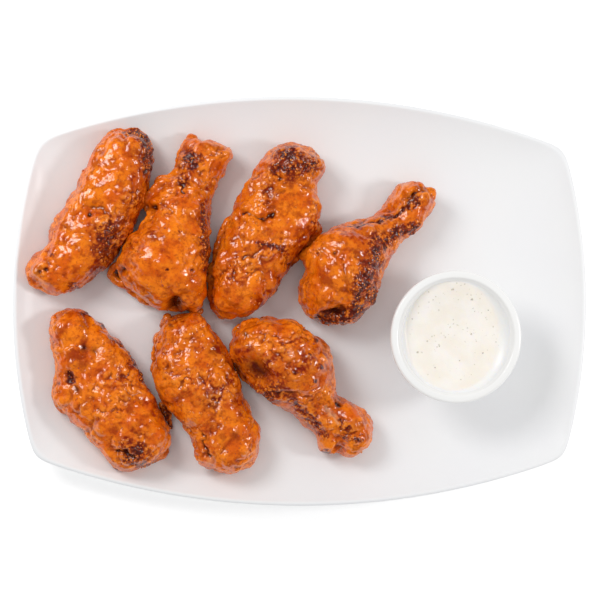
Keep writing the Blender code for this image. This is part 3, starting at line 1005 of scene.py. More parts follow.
@dataclass(frozen=True)
class Strand(Trait):
    """A flap, roll or strand that is grown onto a wing, along a path in space in millimetres."""

    path: Sequence[Place]
    radius: float
    taper: float = 0.35

    def beads(self) -> list[tuple[Vector, float]]:
        """Close beads along the path, each with its place and radius, thinner towards both ends."""
        beads, points = [], [Vector(point) for point in self.path]
        lengths = [(end - start).length for start, end in zip(points, points[1:])]
        whole, done = sum(lengths) or 1.0, 0.0
        before, after = [points[0], *points[:-2]], [*points[2:], points[-1]]
        for i, length in enumerate(lengths):
            steps = max(int(length / (self.radius * 0.35)), 2)
            for step in range(steps):
                share = step / steps
                place = self.between(before[i], points[i], points[i + 1], after[i], share)
                end = 2 * (done + share * length) / whole - 1
                beads.append((place, self.radius * (1 - self.taper * end * end)))
            done += length
        beads.append((points[-1], self.radius * (1 - self.taper)))
        return beads

    @staticmethod
    def between(before: Vector, start: Vector, end: Vector, after: Vector, share: float) -> Vector:
        """A point on a smooth curve from start to end, which also heeds the points around them."""
        bend = (2 * before - 5 * start + 4 * end - after) * share ** 2
        twist = (3 * start - before - 3 * end + after) * share ** 3
        return start + ((end - before) * share + bend + twist) / 2

    def cover(self, points: np.ndarray) -> np.ndarray:
        """How much of the feature each point has, from 0 to 1."""
        nearest = np.full(len(points), FAR)
        for place, radius in self.beads()[::2]:
            gap = ((points - np.array(place)) ** 2).sum(axis=1) / radius ** 2
            nearest = np.minimum(nearest, gap)
        return np.exp(-np.maximum(nearest - 1, 0) * 1.5)


Feature = Union[Spot, Seam, Strand]


# ---------------------------------------------------------------- the wings


class Skin:
    """The working surface of one wing: its points in millimetres, and how they hang together."""

    def __init__(self, mesh: bpy.types.Mesh) -> None:
        """Take the points and edges of a mesh that is in metres."""
        self.mesh = mesh
        count = len(mesh.vertices)
        flat = np.empty(count * 3)
        mesh.vertices.foreach_get("co", flat)
        self.points = flat.reshape(-1, 3) / MM
        ends = np.empty(len(mesh.edges) * 2, dtype=np.int32)
        mesh.edges.foreach_get("vertices", ends)
        pairs = ends.reshape(-1, 2)
        self.start = np.concatenate([pairs[:, 0], pairs[:, 1]])
        self.end = np.concatenate([pairs[:, 1], pairs[:, 0]])
        self.degree = np.maximum(np.bincount(self.start, minlength=count), 1)

    def normals(self) -> np.ndarray:
        """Write the points back to the mesh and read its point normals."""
        self.mesh.vertices.foreach_set("co", (self.points * MM).ravel())
        self.mesh.update()
        flat = np.empty(len(self.points) * 3, dtype=np.float32)
        self.mesh.vertex_normals.foreach_get("vector", flat)
        return flat.reshape(-1, 3).astype(float)

    def spread(self, values: np.ndarray, times: int, share: float = 0.5) -> np.ndarray:
        """Blend values with those of the points around them, this many times.

        Args:
            values: One number or one row for each point.
            times: How often.
            share: How much of the surrounding value is taken each time.

        Returns:
            The blended values.
        """
        rows = values.reshape(len(values), -1).copy()
        for _ in range(times):
            for column in range(rows.shape[1]):
                around = np.bincount(self.start, rows[self.end, column], len(rows)) / self.degree
                rows[:, column] += share * (around - rows[:, column])
        return rows.reshape(values.shape)

    def relax(self, times: int) -> None:
        """Smooth the surface a little."""
        self.points = self.spread(self.points, times)


@dataclass
class Wing:
    """One sauced wing: a body from its node, grown flaps, and folds, hollows and batter on its skin."""

    node: str
    seed: float
    features: Sequence[Feature]
    finish: CrustFinish
    voxel: float = 0.45
    quick_voxel: float = 0.8
    fold_depth: float = 1.2
    batter_depth: float = 0.37
    plump: float = 0.45
    wander_grain: float = 3.2
    fold_grain: float = 13.0
    patch_grain: float = 11.0
    lump_grain: float = 5.2
    batter_grain: float = 3.4
    pebble_grain: float = 2.1
    fine_grain: float = 1.9
    burn_grain: float = 3.6
    seam_wander: float = 1.8
    spot_wander: float = 0.5
    marks: dict[Mark, np.ndarray] = field(default_factory=dict)
    rough: Optional[np.ndarray] = None
    surface: Optional[Skin] = None

    def body(self) -> bpy.types.Mesh:
        """Round off the node's facets and weld the flaps and strands into one fine skin."""
        shell = bmesh.new()
        shell.from_mesh(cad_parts[self.node].data)
        bmesh.ops.remove_doubles(shell, verts=shell.verts, dist=1e-6)
        data = bpy.data.meshes.new(self.node + "_core")
        shell.to_mesh(data)
        shell.free()
        core = add_object(self.node + "_core", data)
        rounder = core.modifiers.new("rounder", "SUBSURF")
        rounder.levels = rounder.render_levels = 2
        rounded = self.applied(core)
        shell = bmesh.new()
        shell.from_mesh(rounded)
        for strand in self.features:
            if not isinstance(strand, Strand):
                continue
            for place, radius in strand.beads():
                bmesh.ops.create_icosphere(
                    shell, subdivisions=2, radius=radius * MM, matrix=Matrix.Translation(place * MM))
        shell.to_mesh(rounded)
        shell.free()
        core = add_object(self.node + "_core", rounded)
        grid = core.modifiers.new("grid", "REMESH")
        grid.mode = "VOXEL"
        grid.voxel_size = self.voxel * MM
        return self.applied(core)

    @staticmethod
    def applied(thing: bpy.types.Object) -> bpy.types.Mesh:
        """The mesh that an object's modifiers give. The object is removed."""
        graph = bpy.context.evaluated_depsgraph_get()
        made = bpy.data.meshes.new_from_object(thing.evaluated_get(graph))
        bpy.data.objects.remove(thing)
        return made

    def total(self, name: str, covers: Sequence[np.ndarray]) -> np.ndarray:
        """The strongest value of one trait at each point, over every feature."""
        whole = np.zeros(len(covers[0]))
        for feature, cover in zip(self.features, covers):
            whole = np.maximum(whole, getattr(feature, name) * cover)
        return whole

    def shape(self, plate: Plate, room: Callable[[np.ndarray], np.ndarray]) -> None:
        """Raise the skin: first folds and hollows, then batter.

        Args:
            plate: The plate that the wing lies on.
            room: Gives how far each of some points may move outwards, in millimetres.
        """
        skin = Skin(self.body())
        skin.relax(4)
        skin.points += skin.normals() * self.plump
        start, allowed = skin.points.copy(), room(skin.points)
        normals = skin.normals()
        upper = ease(-0.35, 0.15, normals[:, 2])
        wander = np.stack(
            [sample(perlin, skin.points, self.wander_grain, self.seed + 40 * axis) for axis in range(3)],
            axis=1)
        read = skin.points + wander * self.seam_wander
        covers = [
            feature.cover(read if isinstance(feature, Seam) else skin.points + wander * self.spot_wander)
            * (1 if isinstance(feature, Strand) else upper) for feature in self.features
        ]
        gloss, rough_share = self.total("gloss", covers), self.total("rough", covers)
        char, brown_and_shade = self.total("char", covers), self.total("brown_and_shade", covers)
        rise = sum(
            feature.rise * cover for feature, cover in zip(self.features, covers)
            if not isinstance(feature, Strand))
        calm = 1 - 0.7 * gloss
        folds = sample(lumps, skin.points, self.fold_grain, self.seed + 3)
        folds = folds + 0.45 * sample(lumps, skin.points, self.fold_grain / 2, self.seed + 9)
        skin.points += normals * ((rise + self.fold_depth * folds * calm)[:, None])
        skin.relax(2)
        normals = skin.normals()
        patch = ease(-0.05, 0.35, sample(perlin, skin.points, self.patch_grain, self.seed + 21))
        coarse = np.clip(0.10 + 0.4 * patch + 0.8 * rough_share + 0.7 * char - 0.9 * gloss, 0.03, 1.5)
        grit = np.minimum(coarse, 1.0)
        pebbled = sample(pebbles, skin.points, self.pebble_grain, self.seed + 5)
        uneven = sample(rough, skin.points, self.batter_grain, self.seed + 30)
        lumpy = sample(lumps, skin.points, self.lump_grain, self.seed + 60)
        grainy = sample(perlin, skin.points, self.fine_grain, self.seed + 80)
        batter = coarse * (0.45 * pebbled - 0.3) + (0.25 + 0.75 * coarse) * uneven
        batter += (1 - 0.5 * gloss) * (0.5 + 0.9 * patch) * lumpy
        batter += (0.22 + 0.7 * grit) * 0.95 * grainy
        skin.points += normals * (self.batter_depth * batter)[:, None]
        outward = ((skin.points - start) * skin.normals()).sum(axis=1)
        over = np.maximum(outward - allowed, 0)
        skin.points -= skin.normals() * over[:, None]
        self.keep_above(skin, plate)
        self.surface, self.rough = skin, coarse
        self.mark(skin, char, brown_and_shade, gloss)
        for mark in (Mark.PALE, Mark.RUDDY):
            self.marks[mark] = np.clip(self.total(mark.value, covers), 0, 1)
        for mark, values in self.marks.items():
            store = skin.mesh.attributes.new(mark.value, "FLOAT", "POINT")
            store.data.foreach_set("value", values.astype(np.float32))

    @staticmethod
    def keep_above(skin: Skin, plate: Plate, gap: float = 0.12) -> None:
        """Lift any point that would reach into the plate to just over its glaze."""
        low = skin.points[:, 2] < plate.height / MM + 1
        x, y = skin.points[low, 0] * MM, skin.points[low, 1] * MM
        floor = plate.top(plate.inset(x, y)) / MM + gap
        skin.points[low, 2] = np.maximum(skin.points[low, 2], floor)

    def mark(self, skin: Skin, char: np.ndarray, brown_and_shade: np.ndarray, gloss: np.ndarray) -> None:
        """Darken the creases, recesses and down-facing sides with painted shade and some browning, paint
        light on the fine crests and shade in the fine valleys, and burn the crust unevenly.
        """
        normals = skin.normals()
        broad = ((skin.spread(skin.points, 60) - skin.points) * normals).sum(axis=1)
        fine = ((skin.spread(skin.points, 8) - skin.points) * normals).sum(axis=1)
        # Painted shade in broad recesses.
        recess_shade = 0.75 * ease(0.2, 1.15, broad)
        # Painted light and shade: near 1 on fine crests and near 0 in fine valleys, stronger where the batter
        # is rough.
        relief_light = 0.5 + (ease(-0.13, 0.13, -fine) - 0.5) * np.clip(0.2 + 0.7 * self.rough, 0, 1)
        # Painted shade on sides that face down.
        under = 0.35 * ease(0.1, -0.6, normals[:, 2])
        crumble = ease(-0.25, 0.3, sample(rough, skin.points, self.burn_grain, self.seed + 70))
        self.marks = {
            Mark.CHAR: np.clip(char * (0.45 + 0.8 * crumble), 0, 1),
            Mark.HOLLOW: np.clip(brown_and_shade * 0.85 + recess_shade + under, 0, 1),
            Mark.CREST: np.clip(relief_light, 0, 1),
            Mark.GLOSS: np.clip(gloss, 0, 1),
            Mark.GRIT: np.clip(self.rough, 0, 1),
        }

    def build(self, material: bpy.types.Material) -> None:
        """Dress the shaped skin, and let it stand for its node."""
        piece = add_object(self.node + "_skin", self.surface.mesh)
        piece.data.materials.clear()
        piece.data.materials.append(material)
        present(piece, "sauced_crust", self.node)


class Neighbours:
    """Knows how near each wing is to the other solids on the plate."""

    def __init__(self, nodes: Sequence[str]) -> None:
        """Build one search tree for each node."""
        self.trees = {}
        for node in nodes:
            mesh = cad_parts[node].data
            mesh.calc_loop_triangles()
            points = [vertex.co for vertex in mesh.vertices]
            faces = [tuple(triangle.vertices) for triangle in mesh.loop_triangles]
            self.trees[node] = BVHTree.FromPolygons(points, faces)

    def room(self, node: str, reach: float = 5.0, gap: float = 0.1) -> Callable[[np.ndarray], np.ndarray]:
        """Make a function that tells how far a wing's points may move outwards.

        Args:
            node: The wing.
            reach: How far a point may move where nothing is near, in millimetres.
            gap: What stays between two wings, on each side, in millimetres.

        Returns:
            A function from points to distances, in millimetres.
        """
        low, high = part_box(node)
        others = []
        for other, tree in self.trees.items():
            other_low, other_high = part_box(other)
            margin = 2 * reach * MM
            if other != node and all(
                other_low[i] - margin < high[i] and low[i] < other_high[i] + margin for i in range(3)
            ):
                others.append((tree, np.array(other_low) - margin, np.array(other_high) + margin))

        def measure(points: np.ndarray) -> np.ndarray:
            """How far each point may move, in millimetres."""
            allowed = np.full(len(points), reach)
            for tree, low_corner, high_corner in others:
                metres = points * MM
                near = np.nonzero(((metres > low_corner) & (metres < high_corner)).all(axis=1))[0]
                for index in near:
                    found = tree.find_nearest(Vector(metres[index]), 2 * reach * MM)
                    if found[3] is not None:
                        allowed[index] = min(allowed[index], max(found[3] / MM / 2 - gap, 0.0))
            return allowed

        return measure


def upper_left_flat(finish: CrustFinish) -> Wing:
    """The flat that leans on the plate's upper left rim, with a burnt edge along its far end."""
    return Wing("wing_flat_1", 11.3, (
        Seam(((-86, 83), (-80.5, 79.5), (-77.2, 72), (-76.6, 63)), 3.6, rise=-0.4, char=1, rough=1),
        Spot(-83.5, 80.5, 2.2, rise=0.4, char=1),
        Spot(-105.3, 39.9, 1.4, rise=-1.5, brown_and_shade=1),
        Seam(((-113.2, 39), (-107.3, 43.9), (-100.4, 43.9), (-96.5, 39.9), (-95.5, 36)), 1.2,
             rise=-1.0, brown_and_shade=0.3),
        Spot(-101.4, 37, 4.0, rise=1.0),
        Spot(-98.4, 27.2, 5.0, rise=0.5, char=0.75, rough=1),
        # Painted shade: a darker band down the wing's right flank, made with the crease and burn marks.
        Seam(((-89.6, 39), (-95, 25), (-102.3, 11.4)), 3.0, brown_and_shade=0.27, char=0.35),
        Spot(-126, 13.4, 1.4, rise=-1.1, brown_and_shade=0.9),
        Spot(-128.9, 12.4, 1.2, rise=-0.9, brown_and_shade=0.9),
        Spot(-113.2, 5.5, 3.0, char=0.5, rough=0.8),
        Spot(-117.1, 34, 1.2, rise=0.4, char=0.7),
        Spot(-123, 20.3, 1.2, rise=0.4, char=0.7),
        Spot(-125, 16.4, 1.0, rise=0.3, char=0.6),
        Spot(-85.6, 63.5, 8.0, rough=0.7),
        Spot(-112, 17.5, 9.0, gloss=0.8),
        Strand(((-134.6, 12, 20), (-132, 6.8, 18.5), (-123, 4, 15), (-113.5, 6, 12.5),
                (-104, 12.2, 11)), 2.2),
        Spot(-92, 62, 10.0, gloss=0.7),
        Spot(-103, 50, 8.0, gloss=0.7),
        Spot(-119, 26, 6.0, gloss=0.6),
        Seam(((-137, 19), (-128, 28.5), (-122, 42), (-113, 56)), 3.0, rise=-1.4),
        Seam(((-99, 84), (-90, 86), (-82, 84.5)), 3.5, rise=-2.3),
        Spot(-100, 24, 6.0, ruddy_and_side_shade=0.8, char=0.5),
        Spot(-107, 31, 5.0, ruddy_and_side_shade=0.5),
        Spot(-95, 32, 7.0, char=0.55, rough=1, ruddy_and_side_shade=0.7),
        # Painted shade: a red-brown band along the wing's right flank.
        Seam(((-78, 72), (-82, 58), (-87, 44), (-94, 26), (-102, 14)), 5.0, ruddy_and_side_shade=0.8, rough=0.5),
        Spot(-96, 58, 9.0, gloss=0.5),
    ), finish)


def upper_left_drumette(finish: CrustFinish) -> Wing:
    """The drumette beside it, with a torn flap on its left and a crusty cut end."""
    return Wing("wing_drumette_1", 23.9, (
        Spot(-57.2, 67.6, 5.2, rise=0.3, char=1, rough=1),
        Spot(-60.1, 58.6, 4.0, rise=0.3, char=0.6, rough=1),
        Seam(((-62, 56.7), (-60.1, 51.7)), 1.3, rise=-1.3, brown_and_shade=0.41),
        Seam(((-57.1, 61.6), (-54.2, 43.9)), 2.5, rise=1.7, gloss=0.6),
        Strand(((-77.8, 48.8, 16), (-74.8, 53.7, 18), (-69.9, 57.6, 20)), 2.8),
        Strand(((-77.8, 48.8, 15), (-77.8, 44.9, 14), (-74.8, 40.9, 15)), 1.5),
        Spot(-75.6, 44.9, 1.7, rise=-3, brown_and_shade=1),
        Seam(((-51.2, 44.9), (-50.3, 35), (-48.8, 25.2), (-49.3, 14.4)), 2.0, rise=0.3, char=0.75, rough=1),
        Spot(-75.8, 16.4, 6.0, rise=0.4, gloss=0.9),
        Seam(((-56.1, 16.4), (-58.1, 14.4), (-57.1, 11.4)), 1.0, rise=0.8),
        Spot(-55.6, 14, 1.0, rise=-1.1, brown_and_shade=0.8),
        Spot(-54.2, 4.6, 4.0, gloss=0.9),
        Spot(-67.9, 13.4, 0.8, char=0.9),
        Strand(((-96.5, 12, 12), (-93.5, 16, 14), (-89.6, 17, 15), (-86.6, 14, 14)), 1.8),
        Spot(-90.6, 13, 2.0, rise=-2.2, brown_and_shade=1),
        Seam(((-86.6, 27.2), (-83.7, 22.3), (-79.7, 20.3)), 1.0, rise=-0.9, brown_and_shade=0.32),
        Spot(-64, -4.3, 4.0, rise=-4, brown_and_shade=1),
        Strand(((-58.2, -5.2, 10), (-54.2, -6.2, 10), (-51.3, -5.2, 10)), 1.0, pale=0.3),
        Seam(((-68.5, 67), (-64, 73)), 3.0, rise=1.0),
        Spot(-66, 18, 11.0, gloss=0.8),
        Spot(-62, 36, 6.0, gloss=0.5),
        Spot(-62, 32, 1.0, rise=0.3, char=0.7),
        Spot(-55.2, 31, 1.0, rise=0.3, char=0.7),
        Strand(((-96, 12.5, 9), (-90, 8.6, 9), (-83, 3, 9), (-76.5, -0.6, 9), (-70.5, -2.6, 9)), 2.6),
        Strand(((-58.6, 80.6, 14), (-55, 79.8, 15)), 2.2),
        Strand(((-73.5, 58, 16), (-67, 60.3, 17), (-62.3, 66, 17), (-59.6, 75, 16)), 2.0),
        Spot(-57, 61, 5.0, ruddy_and_side_shade=0.7),
        # Painted shade: a red-brown band along the right flank.
        Seam(((-50, 52), (-48.5, 36), (-47.5, 20)), 4.0, ruddy_and_side_shade=0.7),
        Spot(-74, 32, 6.0, ruddy_and_side_shade=0.5),
    ), finish)


def upper_middle_flat(finish: CrustFinish) -> Wing:
    """The flat in the upper middle: a knobbly crusted end, a diagonal ridge and a glossy channel."""
    return Wing("wing_flat_2", 37.1, (
        Spot(-9, 67.6, 7.0, rise=0.3, char=1, rough=1),
        Spot(-14.9, 63.5, 4.0, char=0.7, rough=1),
        Spot(0.5, 66, 5.0, char=0.8, rough=1),
        Spot(-2.1, 74.3, 3.0, char=0.4),
        Spot(-6, 74.3, 2.5, rise=1.2),
        Spot(-14.9, 71.4, 2.5, rise=1.2),
        Spot(-6, 62.5, 2.5, rise=1.1),
        Spot(3.8, 68.4, 2.5, rise=1.0),
        Seam(((-17.8, 63.5), (-13.9, 58.6)), 1.1, rise=-1.1, brown_and_shade=0.36),
        Seam(((-16.8, 51.7), (-20.8, 45.8)), 1.1, rise=-1.1, brown_and_shade=0.36),
        Seam(((-13.9, 55.7), (-17.8, 48.8), (-21.7, 42.9), (-28.6, 39)), 2.2, rise=2.0, gloss=0.4),
        Seam(((-30.6, 42.5), (-22.7, 39), (-15.8, 42)), 1.2, rise=-1.6, brown_and_shade=0.45),
        Spot(-6, 39, 3.0, rise=0.9, gloss=1),
        Seam(((-3.1, 48.8), (-5, 37), (-4, 24.2)), 2.5, rise=-0.6, gloss=0.9),
        Seam(((2.8, 48.8), (3.8, 39), (5.8, 36)), 1.8, rise=0.8, rough=1),
        Seam(((-24.7, 26.2), (-20.8, 27.2), (-15.8, 26.2), (-10.9, 24.2)), 1.3, rise=0.6, char=0.65, rough=1),
        Seam(((-30.6, 20.3), (-26.7, 21.3), (-23.7, 24.2)), 1.0, rise=-1.0, brown_and_shade=0.36),
        Spot(-31, 14.5, 10.0, rough=0.9),
        Seam(((-25.7, 7.5), (-20.8, -0.4)), 3.0, gloss=0.9),
        Spot(-38.6, 2.6, 3.0, gloss=0.7),
        # Painted shade on the lower right flank.
        Spot(-6, 17.3, 3.0, brown_and_shade=0.9),
        Strand(((-7.9, 20.5, 16), (-6, 18.6, 14)), 1.0),
        Strand(((-34.5, 43, 15), (-39.6, 36, 14), (-42, 25, 13), (-44.7, 12, 12), (-44.5, -1.5, 11),
                (-40.5, -6.5, 10)), 2.8),
        Strand(((5, 40, 15), (7, 35.5, 15), (1.5, 28.5, 14), (-6.5, 20.5, 13), (-13.5, 12, 12),
                (-17, 4, 11)), 2.4),
        Seam(((-4, 17.5), (-12, 9.5), (-20, 3)), 4.5, rise=0.6),
        Spot(-12, 46, 7.0, gloss=0.6),
        # Painted shade: a red-brown band along the right and lower edge.
        Seam(((6, 42), (-3, 24), (-14, 9), (-23, -2)), 4.0, ruddy_and_side_shade=0.8),
        Spot(-20, 56, 8.0, ruddy_and_side_shade=0.5, rough=0.6),
        Spot(-14, 24, 8.0, ruddy_and_side_shade=0.6, rough=0.5),
        Spot(-27, 32, 8.0, rough=0.5),
        Spot(-8, 66, 9.0, char=0.55, rough=1, ruddy_and_side_shade=0.8),
        Seam(((-35, 6), (-38, 20), (-33, 34)), 4.0, ruddy_and_side_shade=0.3),
    ), finish)


def upper_right_drumette(finish: CrustFinish) -> Wing:
    """The largest drumette: it points up right, with a rolled flap, burnt patches and a deep pit darkened
    with painted shade.
    """
    return Wing("wing_drumette_2", 51.7, (
        Spot(42.2, 48.8, 4.0, rise=0.8, gloss=0.8),
        Seam(((43.1, 50.8), (53.9, 55.7)), 2.5, rise=0.8, gloss=0.5),
        Seam(((50, 51.7), (55.9, 54.7), (58.9, 55.7)), 1.0, rise=-1.3, brown_and_shade=0.45),
        Spot(59.8, 48.8, 4.0, rise=0.8, gloss=0.4),
        Spot(54.9, 48.8, 3.0, char=0.6, rough=1),
        Seam(((42.2, 45.8), (48, 49.8), (55.9, 53.7)), 1.0, rise=-1.0, brown_and_shade=0.32),
        Spot(40.2, 41.9, 2.2, char=0.8, rough=1),
        Spot(34.3, 27.2, 3.0, char=0.95, rough=1),
        Spot(40.2, 30.1, 2.0, char=0.8, rough=1),
        Spot(45.1, 34, 3.0, char=0.9, rough=1),
        Spot(48, 36, 2.0, char=0.8),
        Strand(((49, 35.6, 14), (54.5, 39, 13), (57.5, 40, 12)), 2.8, char=0.3),
        Spot(32.3, 19.3, 2.2, char=0.6),
        Spot(36.3, 19.3, 1.6, char=0.5),
        Spot(26.4, 8.5, 5.0, char=0.95, rough=1, rise=0.3),
        Spot(31.3, 1.6, 3.0, char=0.8, rough=1),
        Spot(23.5, -1.3, 3.0, char=0.7, rough=1),
        Spot(21.5, -6.3, 2.0, char=0.7),
        Spot(12.6, -7.2, 2.5, rise=-5.0, brown_and_shade=1, char=0.6, stretch=2.9, turn=0.2),
        Seam(((5.5, -10.5), (12.5, -10.8), (20, -10)), 2.0, rise=-0.8, char=0.9, brown_and_shade=0.4, rough=1),
        Seam(((3.8, -7.2), (7.7, -2.3), (12.7, 1.6), (14.6, -0.4)), 1.5, rise=1.1),
        Strand(((10, -6, 9), (14, -8, 8.5), (16, -8, 8.5)), 1.2, char=0.8),
        Strand(((24, -5, 12), (25, -9, 10.5)), 2.8),
        Strand(((-0.5, 22.3, 16), (3.2, 24.5, 20), (8, 26.3, 23), (12.8, 25.3, 24), (15.7, 21.3, 24)), 2.8),
        Spot(12.7, 22.4, 1.3, rise=-1.2, brown_and_shade=0.8),
        Spot(4.8, 23.2, 2.0, char=0.5, rough=1),
        Seam(((16.6, 21.3), (18.6, 9.5), (18.6, -0.4)), 1.5, rise=-1.0, brown_and_shade=0.23),
        Seam(((8.7, 17.3), (4.8, 7.5)), 1.4, rise=-0.8, brown_and_shade=0.18),
        Strand(((10, 32.3, 18), (12.9, 34.2, 20), (14.8, 34.2, 20)), 1.5),
        Spot(18.6, 31.1, 6.0, gloss=0.7),
        Seam(((20.5, 36), (28.4, 37)), 0.8, char=0.6),
        Spot(6.8, 11.4, 4.0, gloss=0.8),
        Seam(((34.6, 28), (31, 17), (28, 9), (24.4, 2.2)), 4.0, rise=0.3, char=0.9, rough=1),
        Spot(33.1, 2.2, 3.6, char=0.9, rough=1),
        Seam(((36.5, 26.6), (45.3, 33), (54, 37.8)), 2.4, rise=0.5, char=0.85, rough=1),
        Seam(((24.9, 36.3), (39.5, 41.2), (46.3, 43.7), (54, 51.9)), 1.5, rise=-0.9,
             brown_and_shade=0.7, char=0.5, rough=0.7),
        Strand(((61.6, 55.6, 20), (64.2, 52.2, 20)), 2.6),
        Seam(((46, 52.5), (41, 45)), 3.0, rise=-2.0),
        Seam(((1, 13), (0.3, 4), (1.5, -4)), 3.0, rise=-1.1),
        Spot(30, 30, 9.0, ruddy_and_side_shade=0.8),
        Spot(16, 10, 8.0, ruddy_and_side_shade=0.3),
        Spot(12, 12, 8.0, gloss=0.4),
        Spot(29, 6, 6.5, char=0.9, rough=1),
        Spot(25, -5.5, 5.0, char=0.9, rough=1),
        Spot(17, -9.5, 4.0, char=0.85, rough=1),
        Spot(34, 18, 5.0, char=0.55, rough=1, ruddy_and_side_shade=0.6),
    ), finish)


def lower_left_flat(finish: CrustFinish) -> Wing:
    """The flat at the lower left: pitted at its middle, with sauce pooled at its left and lower end."""
    return Wing("wing_flat_3", 64.3, (
        Seam(((-109.3, -7.2), (-103.4, -10.2), (-99.5, -14.1)), 0.9, rise=0.6, char=0.6),
        Spot(-115.2, -17, 4.0, gloss=0.9),
        Seam(((-117.1, -25), (-111.2, -24), (-109.3, -28)), 1.2, rise=0.9),
        Spot(-107.3, -24, 2.6, rise=-1.2, brown_and_shade=0.8),
        Spot(-102.4, -25, 2.6, rise=-0.9, brown_and_shade=0.6),
        Spot(-114.2, -38.7, 3.0, rise=-1.5, brown_and_shade=0.5, char=0.85, rough=1),
        Spot(-111.2, -43.6, 1.4, rise=-0.8, brown_and_shade=0.8, stretch=1.8, turn=2.2),
        Spot(-120, -41.6, 1.0, rise=-0.6, brown_and_shade=0.8),
        Strand(((-121, -47, 12.5), (-120, -52, 11.5), (-116, -56, 11)), 2.2, gloss=1),
        Spot(-82.7, -31.8, 2.0, char=0.9, rough=1),
        Seam(((-95.5, -19), (-89.6, -22), (-85.6, -27.9), (-81.7, -32.8), (-78.8, -39.7)), 1.5,
             rise=0.3, char=0.7, rough=1),
        Spot(-80.7, -73.1, 4.5, char=0.85, rough=1),
        Spot(-79.7, -78, 3.0, char=0.8, rough=1),
        Seam(((-87.6, -78), (-77.8, -81), (-73.8, -79)), 1.5, rise=0.3, char=0.9, rough=1),
        Seam(((-91.5, -73.1), (-87.6, -75.1), (-84.7, -77)), 1.8, rise=-3.0, brown_and_shade=0.45),
        Strand(((-95, -75.5, 10), (-93, -79.5, 9.5), (-88, -82, 9.5), (-84, -81, 9.5)), 2.6, gloss=1),
        Spot(-78.8, -56.4, 3.0, gloss=0.8),
        Spot(-75.8, -61.3, 3.0, gloss=0.8),
        Strand(((-68.5, -70, 12), (-70, -76, 11), (-77, -80.3, 10)), 2.4, char=0.4),
        Strand(((-70.5, -52.5, 8.5), (-67.3, -57.5, 8), (-65.6, -63.5, 8)), 1.9, char=0.9, rough=1),
        Spot(-108, -28, 6.0, ruddy_and_side_shade=0.3),
        Spot(-84, -68, 7.0, ruddy_and_side_shade=0.6),
        Spot(-80, -45, 6.0, ruddy_and_side_shade=0.4),
        Spot(-83, -75, 7.5, char=0.7, rough=1),
        Spot(-96, -52, 11.0, rough=0.4),
        # Painted shade: a red-brown band along the right flank.
        Seam(((-89, -20), (-79, -40), (-70, -58)), 3.0, ruddy_and_side_shade=0.6),
        Spot(-108, -18, 7.0, gloss=0.5),
        Spot(-88, -34, 8.0, rough=0.6),
    ), finish)


def lower_middle_flat(finish: CrustFinish) -> Wing:
    """The flat in the lower middle: an even pebbled crown and a ridged flap at its lower left."""
    return Wing("wing_flat_4", 77.9, (
        Spot(-66, -13.1, 1.5, brown_and_shade=0.7),
        Seam(((-63, -27.9), (-56.1, -20)), 2.0, rise=-1.0, brown_and_shade=0.18),
        # Painted shade on the right flank, with a smooth gloss.
        Spot(-45.3, -24.9, 5.0, gloss=0.7, brown_and_shade=0.5),
        Spot(-49.3, -40.7, 1.0, char=0.9),
        Spot(-47.3, -46.6, 3.0, brown_and_shade=0.5),
        Spot(-45.3, -51.5, 3.0, brown_and_shade=0.5),
        Spot(-55, -42, 12.0, rough=0.55),
        # Painted shade: a red-brown band along the right flank.
        Seam(((-43, -18), (-37, -36), (-31, -54)), 3.5, ruddy_and_side_shade=0.8),
        Seam(((-42.4, -61.3), (-46.3, -65.2)), 1.5, rise=-0.9, brown_and_shade=0.23),
        Spot(-34.5, -66.2, 3.0, brown_and_shade=0.6),
        Seam(((-53.2, -65.2), (-52.2, -71.1), (-50.3, -77)), 1.6, rise=1.3),
        Seam(((-50.4, -66), (-49.4, -71.5), (-47.5, -76.5)), 1.0, rise=-1.5, brown_and_shade=0.45),
        Spot(-46.3, -79, 2.0, pale=0.3),
        Strand(((-47, -80.5, 10), (-40.5, -82.5, 10), (-34.5, -84.3, 10.5)), 1.5),
        Strand(((-36, -83, 12), (-34.5, -83.5, 12)), 2.0),
        Strand(((-68.5, -9, 12), (-69, -13, 12)), 2.2, char=0.5),
        Strand(((-69.5, -17, 12), (-71.8, -23, 12), (-73, -30, 11.5), (-71.3, -40, 11.5),
                (-67, -47, 12)), 3.0),
        Spot(-70.8, -6.6, 3.0, char=0.8),
        Spot(-43, -47, 8.0, ruddy_and_side_shade=0.8, rough=0.4),
        Spot(-57, -22, 8.0, ruddy_and_side_shade=0.3, gloss=0.5),
        Seam(((-56, -7), (-47, -16), (-42, -24)), 3.5, rise=1.1),
        Spot(-62, -12, 6.0, ruddy_and_side_shade=0.5, rough=0.6),
        Spot(-50, -62, 8.0, rough=0.5),
    ), finish)


